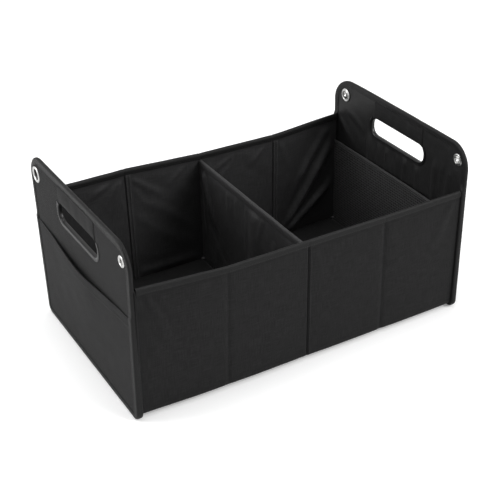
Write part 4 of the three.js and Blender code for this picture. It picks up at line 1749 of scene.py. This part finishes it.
@dataclass
class FloorPan(Maker):
    """The floor: outer cloth underneath and lining on top of the two boards."""

    cell: float = 5 * MM
    tab_length: float = 7.5 * MM
    tab_half: float = 2.2 * MM
    tab_radius: float = 1.6 * MM
    tab_rise: float = 1.7 * MM
    tab_thickness: float = 0.5 * MM

    @property
    def lining_half(self) -> float:
        """Half of the lining's width."""
        return self.box.wall_board_outer - 3.1 * MM

    def _wave(self, u: np.ndarray, v: np.ndarray, half: float) -> np.ndarray:
        """How high a floor sheet waves over its boards.

        Args:
            u: Distance along the box.
            v: Distance across it.
            half: Half of the sheet's width.

        Returns:
            The height over the boards.
        """
        inner = smoothstep(0, 25 * MM, self.box.seam_face - np.abs(u)) * smoothstep(0, 18 * MM, half - np.abs(v))
        inner = inner * smoothstep(0, 10 * MM, np.abs(u))
        return 0.5 * MM * (cloth_noise(u, v, 34 * MM, 101) + 0.8) * inner

    def _sheet(self, name: str, half: float, face: float, depth: float, thickness: float, finish: Finish) -> None:
        """Lays one floor sheet, with both ends turned down into the end seams.

        Args:
            name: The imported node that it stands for.
            half: Half of its width.
            face: The height of the face that shows.
            depth: How deep in the end seam the turned ends lie.
            thickness: Its thickness.
            finish: The cloth.
        """
        box = self.box
        up = finish is Finish.LINING
        over = box.seam_face + np.array([0.6, 1.4, 2.6, 4.4]) * MM
        run = spaced(-box.seam_face, box.seam_face, self.cell, [d * MM for d in (-3, -1.4, 0, 1.4, 3)])
        us = np.concatenate([-over[::-1], run, over])
        piece = self.bench.cut(f"{name}_cloth" if up else "floor_cloth", us, spaced(-half, half, self.cell))

        def place(u: np.ndarray, v: np.ndarray) -> np.ndarray:
            """The face that shows.

            Args:
                u: Distance along the sheet.
                v: Distance across it.

            Returns:
                Its points.
            """
            past = np.maximum(np.abs(u) - box.seam_face, 0)
            x = np.sign(u) * (np.minimum(np.abs(u), box.seam_face) + depth * (1 - np.exp(-past / (0.8 * MM))))
            wave = self._wave(u, v, half)
            lift = (np.maximum(wave, 0) if up else 0.25 * wave) - 0.35 * MM * hump(u, 1.3 * MM)
            return box.points(x, v, face + (1.0 if up else -1.0) * lift - np.maximum(past - 0.5 * MM, 0))

        # The floor lining uses the same lining cloth darkened as painted shade.
        material = self.bench.wardrobe.end_lining if up else None
        self.bench.form(piece, place, thickness, finish, name, not up, material=material)

    def _boards(self) -> None:
        """The two floor boards, with a gap for the fold under the divider."""
        box = self.box
        half = box.wall_board_outer - 0.6 * MM
        top = box.floor_board_top - box.gap
        for end in End:
            near, far = sorted((end.value * 1.6 * MM, end.value * (box.seam_face - 1.6 * MM)))
            name = end.name.lower()
            piece = self.bench.cut(f"{name}_floor_stiffener", np.linspace(near, far, 9), np.linspace(-half, half, 5))
            node = f"{name}_floor_board"
            self.bench.form(piece, lambda u, v: box.points(u, v, top), box.stiffener, Finish.BOARD, node)

    def _tab(self, name: str, x: float, side: Side) -> None:
        """A small folded end of seam tape that stands up in a corner of the floor.

        Args:
            name: The piece's name.
            x: Where it stands along the box.
            side: The wall that it stands against.
        """
        box = self.box
        angles = np.radians(np.linspace(-30, 210, 13))
        us = np.linspace(0, self.tab_length, len(angles))
        piece = self.bench.cut(name, us, np.linspace(-self.tab_half, self.tab_half, 3))

        def place(u: np.ndarray, v: np.ndarray) -> np.ndarray:
            """A short loop of tape.

            Args:
                u: Distance along the tape.
                v: Distance across it.

            Returns:
                Its points.
            """
            angle = np.interp(u, us, angles)
            y = side.value * (box.wall_inner - self.tab_radius * (2 - np.cos(angle)))
            return box.points(x + v, y, box.floor_top + self.tab_radius + self.tab_rise * np.sin(angle))

        # The pale tape is partly painted highlight for the glint at this corner.
        loop = self.bench.wardrobe.loop
        self.bench.form(piece, place, self.tab_thickness, Finish.TAPE, flip=side is Side.BACK, material=loop)

    def build(self) -> None:
        """Builds the floor."""
        box = self.box
        self._boards()
        half, cloth = box.wall_board_outer, box.shell_cloth
        self._sheet("floor_fabric", half, box.floor_lift, 1.9 * MM, cloth, Finish.SHELL)
        half, cloth = self.lining_half, box.lining_cloth
        self._sheet("floor_lining", half, box.floor_top, 2.9 * MM, cloth, Finish.LINING)
        for side in Side:
            wall = side.name.lower()
            self._tab(f"{wall}_divider_tab", -5 * MM, side)
            self._tab(f"{wall}_net_tab", 243 * MM, side)
        ys = np.linspace(-box.wall_inner + 4 * MM, box.wall_inner - 4 * MM, 60)
        lines = []
        for place in (-6 * MM, 6 * MM, 241 * MM, -241 * MM):
            xs = np.full_like(ys, place)
            wave = np.maximum(self._wave(xs, ys, self.lining_half), 0)
            lines.append((box.points(xs, ys, box.floor_top + wave + 0.1 * MM), (0, 0, 1)))
        self.sewing.run("floor_stitches", lines, Finish.LINING, light=True)


@dataclass
class Divider(Maker):
    """The cross divider: a cover folded over the top of its board, hemmed and slack on both faces."""

    front: Settling
    back: Settling
    creases: tuple[Crease, ...]
    top: float = 184 * MM
    half_thick: float = 1.75 * MM
    hem: float = 9 * MM
    hem_step: float = 0.35 * MM
    bend: float = 1.3 * MM
    cell: float = 2.3 * MM

    def _y(self, u: np.ndarray, z: np.ndarray) -> np.ndarray:
        """Distance across the box, with the sheet stretched between the two settled walls."""
        front, back = (self.box.wall_inner + wall.bow(np.zeros_like(u), z) for wall in (self.front, self.back))
        return np.where(u < 0, u * front, u * back) / self.box.wall_inner

    def _slack(self, u: np.ndarray, z: np.ndarray, face: float) -> np.ndarray:
        """How far the cover stands off the board on one face.

        Args:
            u: Distance along the sheet from its middle.
            z: Height.
            face: -1 for the left face, 1 for the right one.

        Returns:
            The distance, with the doubled hem's step.
        """
        box = self.box
        held = smoothstep(0, 10 * MM, box.wall_inner - np.abs(u)) * smoothstep(0, 8 * MM, z - box.floor_top)
        held = held * smoothstep(0, 9 * MM, self.top - self.hem - z)
        seed = 111 if face < 0 else 121
        soft = 0.8 * (cloth_noise(u * 1.2, z * 0.6, 26 * MM, seed) + 0.7)
        fine = 0.26 * (cloth_noise(u, z * 0.6, 10 * MM, seed + 1) + 0.6)
        folds = relief_of(self.creases, u if face < 0 else -u, z)
        hem = self.hem_step * smoothstep(self.top - self.hem, self.top - self.hem + 0.8 * MM, z)
        return np.maximum((soft + fine) * MM + folds, 0) * held + hem

    def build(self) -> None:
        """Builds the cover and its stitches."""
        box = self.box
        low, high = box.floor_top, self.top - self.bend
        straight = spaced(low, high, self.cell, [self.top - self.hem + d * MM for d in (0, 0.8, 2)])
        turn = np.radians([22, 45, 67, 90, 113, 135, 158])
        heights = np.concatenate([straight, high + self.bend * np.sin(turn), straight[::-1]])
        lean = np.concatenate([np.full(len(straight), -1.0), -np.cos(turn), np.full(len(straight), 1.0)])
        vs = lengths(np.stack([heights, lean * (self.half_thick + self.hem_step)], axis=1))
        us = spaced(-box.wall_inner, box.wall_inner, self.cell)
        piece = self.bench.cut("divider_cloth", us, vs)

        def place(u: np.ndarray, v: np.ndarray) -> np.ndarray:
            """The outside of the cover.

            Args:
                u: Distance along the sheet from its middle.
                v: Distance across it, up one face and down the other.

            Returns:
                Its points.
            """
            z, side = np.interp(v, vs, heights), np.interp(v, vs, lean)
            face = np.where(side < 0, self._slack(u, z, -1.0), self._slack(u, z, 1.0))
            x = side * (self.half_thick + face - 0.8 * MM * smoothstep(self.top - 2.4 * MM, self.top, z))
            top_wave = 0.5 * MM * cloth_noise(u, u * 0, 40 * MM, 113) * smoothstep(150 * MM, self.top, z)
            return box.points(x, self._y(u, z), z + top_wave)

        # The cover uses the lining cloth lightened as painted light.
        material = self.bench.wardrobe.divider
        self.bench.form(piece, place, box.lining_cloth, Finish.LINING, "divider_cover", material=material)
        ys = np.linspace(-box.wall_inner + 3 * MM, box.wall_inner - 3 * MM, 90)
        lines = []
        for below in (1.6 * MM, self.hem - 1.4 * MM):
            zs = np.full_like(ys, self.top - below)
            for face in (-1.0, 1.0):
                x = face * (self.half_thick + self._slack(ys, zs, face) + THREAD_LIFT)
                lines.append((box.points(x, self._y(ys, zs), zs), (face, 0, 0)))
        stitches = self.sewing.run("divider_hem_stitches", lines, Finish.LINING)


@dataclass
class NetPocket(Maker):
    """The flat net pocket inside the right end: knitted net under a folded tape."""

    face: float = 246.5 * MM
    net_thickness: float = 0.55 * MM
    top: float = 156 * MM
    tape: float = 0.8 * MM
    tape_width: float = 7 * MM
    tape_radius: float = 1.1 * MM
    tape_thickness: float = 0.7 * MM
    opening: float = 4.4 * MM
    zigzag: float = 1.05 * MM
    strand: float = 0.72 * MM

    def _sway(self, y: np.ndarray, z: np.ndarray) -> np.ndarray:
        """How far the slack net hangs into the box.

        Args:
            y: Distance across the box.
            z: Height.

        Returns:
            The distance from the taut net.
        """
        box = self.box
        held = smoothstep(0, 40 * MM, box.wall_inner - np.abs(y)) * smoothstep(0, 40 * MM, z - box.floor_top)
        return (1.6 + 0.6 * cloth_noise(y, z * 0.4, 60 * MM, 131)) * MM * held

    def net(self) -> None:
        """The net, knitted in six-sided openings."""
        half, low, high = self.box.wall_inner, self.box.floor_top, self.top - 1.2 * MM
        columns, rows = 2 * round(half / self.opening), round((high - low) / self.opening)
        us, vs = np.linspace(-half, half, columns + 1), np.linspace(low, high, rows + 1)
        piece = self.bench.cut("net_pocket_cloth", us, vs)
        flat = self.bench.corners(piece)
        column = np.rint(np.interp(flat[:, 0], us, np.arange(len(us)))).astype(int)
        row = np.rint(np.interp(flat[:, 1], vs, np.arange(len(vs)))).astype(int)
        odd = (column + row) % 2 == 1
        with self.bench.editing(piece, "DESELECT"):
            bpy.ops.mesh.select_mode(type="EDGE")
        for edge in piece.data.edges:
            a, b = edge.vertices
            upright = column[a] == column[b] and 0 < column[a] < columns
            edge.select = bool(upright and odd[a if row[a] < row[b] else b])
        with self.bench.editing(piece, None):
            bpy.ops.mesh.dissolve_edges(use_verts=False)
        flat[:, 1] += np.where((row > 0) & (row < rows), np.where(odd, self.zigzag, -self.zigzag), 0.0)
        self.bench.move(piece, flat)
        with self.bench.editing(piece, None):
            bpy.ops.mesh.select_mode(type="FACE")
            bpy.ops.mesh.select_all(action="SELECT")
            bpy.ops.mesh.inset(thickness=self.strand, use_individual=True)
            bpy.ops.mesh.delete(type="FACE")
        self.bench.mark_threads(piece)
        self.bench.form(
            piece,
            lambda u, v: self.box.points(self.face - self._sway(u, v), u, v),
            self.net_thickness,
            Finish.NET,
            "mesh_pocket",
            flip=True,
        )

    def top_tape(self) -> None:
        """The tape folded over the net's top edge, sewn twice."""
        box = self.box
        front, back = -self.tape, 1 * MM + self.tape
        low = self.top - self.tape_width
        legs = [(low, 0.0), (low + 2.4 * MM, 0.0), (low + 4.4 * MM, 0.0)]
        legs += [(self.top - past, bend) for past, bend in rounding(self.tape_radius, COARSE_TURN)]
        table = folded(legs, front, back)
        vs, us = lengths(table), spaced(-box.wall_inner, box.wall_inner, 3.2 * MM)
        piece = self.bench.cut("net_pocket_tape", us, vs)

        def place(u: np.ndarray, v: np.ndarray) -> np.ndarray:
            """The tape's outside.

            Args:
                u: Distance along the tape.
                v: Distance across it.

            Returns:
                Its points.
            """
            z, x = along(v, vs, table)
            x = x + 0.1 * MM * cloth_noise(u, v, 5 * MM, 141)
            z = z + 0.35 * MM * cloth_noise(u, v * 0, 45 * MM, 142)
            return box.points(self.face + x - self._sway(u, z), u, z)

        # The tape uses the lining cloth lightened as painted light.
        node, material = "mesh_pocket_binding", self.bench.wardrobe.divider
        self.bench.form(piece, place, self.tape_thickness, Finish.TAPE, node, flip=True, material=material)
        ys = np.linspace(-box.wall_inner + 2 * MM, box.wall_inner - 2 * MM, 90)
        lines = []
        for height in (low + 1.3 * MM, self.top - 2.2 * MM):
            zs = np.full_like(ys, height)
            lines.append((box.points(self.face + front - self._sway(ys, zs) - THREAD_LIFT, ys, zs), (-1, 0, 0)))
        stitches = self.sewing.run("net_pocket_stitches", lines, Finish.TAPE, light=True)

    def build(self) -> None:
        """Builds the net and its tape."""
        self.net()
        self.top_tape()


@dataclass(frozen=True)
class Lamp:
    """A square soft box that shines at the middle of the object."""

    name: str
    place: tuple[float, float, float]
    size: float
    power: float


@dataclass
class Studio:
    """Camera, lamps, floor and surroundings."""

    shift: float
    focal_pixels: float = 1116.64
    image: int = 500
    camera_place: tuple[float, float, float] = (-694.196, -1203.932, 942.589)
    turned: float = 29.909
    down: float = 31.166
    roll: float = -0.880
    lamps: tuple[Lamp, ...] = (
        Lamp("left lamp", (-2.3, 1.2, 1.05), 1.3, 42.5),
        Lamp("main lamp", (1.6, -2.15, 2.0), 1.6, 74.0),
        Lamp("top lamp", (-0.3, 0.2, 2.7), 1.6, 38.0),
    )
    floor_glow: float = 0.18
    dim: float = 0.4
    mirrored: float = 0.75

    def camera(self) -> None:
        """Puts the camera where the photograph was taken from."""
        data = bpy.data.cameras.new("camera")
        data.sensor_width = 36.0
        data.lens = self.focal_pixels / self.image * data.sensor_width
        data.clip_start, data.clip_end = 0.01, 60.0
        turned, down, roll = (math.radians(a) for a in (self.turned, self.down, self.roll))
        ahead = Vector((math.sin(turned) * math.cos(down), math.cos(turned) * math.cos(down), -math.sin(down)))
        level = Vector((math.cos(turned), -math.sin(turned), 0.0))
        upright = level.cross(ahead)
        right = level * math.cos(roll) + upright * math.sin(roll)
        up = right.cross(ahead)
        camera = bpy.data.objects.new("camera", data)
        place = Vector(self.camera_place) * MM + Vector((self.shift, 0, 0))
        turn = Matrix((right, up, -ahead)).transposed().to_4x4()
        camera.matrix_world = Matrix.Translation(place) @ turn
        bpy.context.scene.collection.objects.link(camera)
        bpy.context.scene.camera = camera

    def lights(self) -> None:
        """Hangs the soft boxes."""
        for lamp in self.lamps:
            data = bpy.data.lights.new(lamp.name, "AREA")
            data.shape = "SQUARE"
            data.size = lamp.size
            data.energy = lamp.power
            light = bpy.data.objects.new(lamp.name, data)
            place = Vector(lamp.place)
            aim = (Vector((0, 0, 0.1)) - place).to_track_quat("-Z", "Y").to_matrix().to_4x4()
            light.matrix_world = Matrix.Translation(place) @ aim
            bpy.context.scene.collection.objects.link(light)

    def surroundings(self) -> None:
        """White for the camera, a little softer in reflections and much softer as a light."""
        world = bpy.data.worlds.new("surroundings")
        world.use_nodes = True
        bpy.context.scene.world = world
        w = Wiring(world.node_tree)
        background = world.node_tree.nodes["Background"]
        rays = w.node("ShaderNodeLightPath")
        seen = w.maths("MAXIMUM", rays.outputs["Is Camera Ray"], rays.outputs["Is Transmission Ray"])
        shown = w.maths("MULTIPLY_ADD", seen, 1.0 - self.dim, self.dim)
        mirrored = w.maths("MULTIPLY_ADD", rays.outputs["Is Glossy Ray"], self.mirrored - self.dim, shown)
        background.inputs["Color"].default_value = (1, 1, 1, 1)
        w.feed(background.inputs["Strength"], mirrored)

    def floor(self) -> None:
        """A plain pale floor that keeps the object's shadow."""
        Bench.pick(None)
        bpy.ops.mesh.primitive_plane_add(size=14.0, location=(0, 0, -0.0002))
        floor = bpy.context.object
        floor.name = "studio_floor"
        floor.data.transform(floor.matrix_world)
        floor.matrix_world = Matrix.Identity(4)
        material = bpy.data.materials.new("Pale floor")
        material.use_nodes = True
        w = Wiring(material.node_tree)
        shader = material.node_tree.nodes["Principled BSDF"]
        cloud = w.noise(w.node("ShaderNodeTexCoord").outputs["Object"], 3.0)
        w.feed(shader.inputs["Base Color"], w.colours(cloud, (0.93, 0.93, 0.93, 1), (0.95, 0.95, 0.95, 1)))
        shader.inputs["Roughness"].default_value = 1.0
        shader.inputs["Specular IOR Level"].default_value = 0.0
        shader.inputs["Emission Color"].default_value = (1, 1, 1, 1)
        seen = w.node("ShaderNodeLightPath").outputs["Is Camera Ray"]
        w.feed(shader.inputs["Emission Strength"], w.maths("MULTIPLY", seen, self.floor_glow))
        floor.data.materials.append(material)

    def build(self) -> None:
        """Builds the studio."""
        bpy.context.scene.view_settings.view_transform = "Standard"
        self.camera()
        self.lights()
        self.surroundings()
        self.floor()


BACK_LINING_CREASES = (
    Crease((-128, 188), (-150, 124), 4.5, 2.0),
    Crease((-130, 190), (-168, 132), 4, 1.5),
    Crease((-131, 192), (-188, 162), 5, 1.7),
    Crease((-128, 150), (-156, 60), 7, 1.3),
    Crease((-122, 186), (-58, 136), 6, 1.3),
    Crease((-121, 176), (-86, 120), 5, 0.9),
    Crease((-24, 184), (-62, 152), 5, 1.1),
    Crease((-92, 138), (-8, 70), 8, 1.2, 0.8),
    Crease((-118, 120), (-30, 48), 8, 1.0, 0.8),
    Crease((-116, 22), (-8, 20), 7, 1.8, 0.8),
    Crease((64, 186), (14, 158), 5, 1.7),
    Crease((58, 178), (30, 140), 5, 1.2),
    Crease((12, 180), (30, 120), 5, 0.9),
    Crease((112, 184), (82, 152), 6, 1.6),
    Crease((118, 150), (96, 60), 7, 0.9, 0.8),
    Crease((148, 24), (254, 176), 9.5, 7.5, 0.55, 0.35),
    Crease((152, 16), (254, 92), 8.5, 6.5, 0.5, 0.35),
    Crease((176, 104), (244, 196), 10, 4.0, 0.5, 0.3),
    Crease((150, 40), (200, 160), 8, 2.2, 0.6, 0.3),
    Crease((137, 184), (160, 120), 6, 1.0, 0.6),
)
FRONT_LINING_CREASES = (
    Crease((-236, 186), (-190, 110), 6, 1.8),
    Crease((-132, 30), (-210, 120), 7, 1.8, 0.7),
    Crease((-118, 184), (-70, 130), 6, 1.6),
    Crease((-10, 40), (-96, 110), 7, 1.6, 0.7),
    Crease((12, 184), (60, 132), 6, 1.7),
    Crease((116, 34), (40, 120), 7, 1.5, 0.7),
    Crease((134, 182), (190, 120), 6, 1.7),
    Crease((236, 34), (156, 130), 7, 1.8, 0.7),
)
FRONT_SHELL_CREASES = (
    Crease((-240, 190), (-204, 104), 9, 2.4, 0.3, 0.6),
    Crease((-242, 130), (-214, 60), 11, 0.8, 0.4),
    Crease((238, 188), (204, 118), 11, 1.2, 0.4),
    Crease((8, 184), (26, 120), 9, 0.9, 0.4),
    Crease((-118, 60), (-90, 20), 12, 0.5, 0.5),
    Crease((134, 178), (150, 110), 10, 0.5, 0.5),
)
BACK_SHELL_CREASES = (
    Crease((238, 186), (208, 112), 10, 1.4, 0.3),
    Crease((-236, 184), (-204, 110), 10, 1.2, 0.4),
)
RIGHT_LINING_CREASES = (
    Crease((150, 200), (96, 150), 9, 2.2, 0.3),
    Crease((126, 216), (74, 192), 7, 1.2, 0.4),
    Crease((70, 194), (60, 120), 6, 3.0, 0.6),
    Crease((44, 190), (38, 130), 4.5, 1.9, 0.6),
    Crease((24, 192), (20, 130), 5, 2.7, 0.6),
    Crease((-2, 190), (-4, 140), 4.5, 1.6, 0.6),
    Crease((-20, 192), (-24, 126), 5, 2.7, 0.6),
    Crease((-48, 190), (-56, 128), 5, 2.4, 0.6),
    Crease((-88, 214), (-92, 130), 6, 2.6, 0.6),
    Crease((-104, 216), (-106, 160), 5, 1.5, 0.6),
    Crease((-122, 216), (-116, 140), 7, 2.2, 0.5),
)
LEFT_LINING_CREASES = (
    Crease((132, 214), (90, 140), 8, 1.4, 0.4),
    Crease((60, 188), (64, 110), 6, 1.2, 0.6),
    Crease((4, 190), (0, 120), 5, 1.1, 0.6),
    Crease((-58, 190), (-66, 116), 6, 1.2, 0.6),
    Crease((-130, 214), (-96, 132), 8, 1.4, 0.4),
)
DIVIDER_CREASES = (
    Crease((133, 172), (97, 84), 6.0, 4.6, 0.75, 0.4),
    Crease((134, 160), (124, 60), 6, 1.6, 0.8),
    Crease((-14, 170), (-22, 40), 17, 3.6, 0.9, 0.1),
    Crease((60, 168), (58, 130), 6, 1.2, 0.7),
    Crease((-70, 150), (-66, 90), 8, 1.2, 0.8),
    Crease((8, 174), (10, 70), 4, 1.1, 0.8),
    Crease((38, 170), (34, 120), 4, 0.8, 0.6),
    Crease((18, 150), (16, 110), 4, 0.8, 0.6),
    Crease((-38, 172), (-28, 130), 5, 0.9, 0.6),
    Crease((-136, 172), (-60, 110), 6, 1.2, 0.5),
    Crease((70, 30), (128, 90), 7, 1.0, 0.8),
)
LEFT_STANCE = Stance((2.0, 4.0, 0.0), (0.0, 0.5, 0.0), (2.0, 0.0, 0.0), (5.0, 1.0, 4.5))
RIGHT_STANCE = Stance((4.0, 0.0, 0.0), (3.5, 0.0, 0.0), (0.5, 2.0, 0.0), (-1.5, 6.0, 0.0), belly=6.0)
FRONT_SETTLING = Settling((7.5, 1.9, -2.3, -3.5, 0.3), (3.4, 7.4, 0.9, -0.8, 1.6), (0.0, 0.0, 0.0, 0.5, 0.0))
BACK_SETTLING = Settling((1.2, 3.0, -2.4, -1.0, 3.0), (0.0, 6.0, 2.8, -2.5, 0.0), (0.0, 0.0, 0.0, 0.0, 0.0))


def main() -> None:
    """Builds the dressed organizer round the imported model."""
    logging.basicConfig(level=logging.INFO, format="%(name)s: %(message)s")
    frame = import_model()
    low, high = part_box("divider_board")
    box = BoxSizes((low.x + high.x) / 2, LEFT_STANCE, RIGHT_STANCE)
    wardrobe = Wardrobe()
    wardrobe.dress_frame(frame["nodes"])
    bench = Bench(box, wardrobe)
    sewing = Sewing(bench)
    Studio(box.shift).build()
    left = EndPanel(bench, sewing, End.LEFT, LEFT_LINING_CREASES)
    right = EndPanel(bench, sewing, End.RIGHT, RIGHT_LINING_CREASES)
    parts = [
        left,
        right,
        LongWall(bench, sewing, Side.FRONT, FRONT_SETTLING, FRONT_LINING_CREASES, FRONT_SHELL_CREASES),
        LongWall(bench, sewing, Side.BACK, BACK_SETTLING, BACK_LINING_CREASES, BACK_SHELL_CREASES),
        FloorPan(bench, sewing),
        Divider(bench, sewing, FRONT_SETTLING, BACK_SETTLING, DIVIDER_CREASES),
        NetPocket(bench, sewing),
        SlipPocket(bench, sewing, left),
    ]
    for part in parts:
        part.build()
        log.info("%s is built", type(part).__name__)
    faces = sum(len(piece.data.polygons) for piece in bench.made.values())
    log.info("%d pieces with %d faces", len(bench.made), faces)
    Bench.pick(None)


if __name__ == "__main__":
    main()
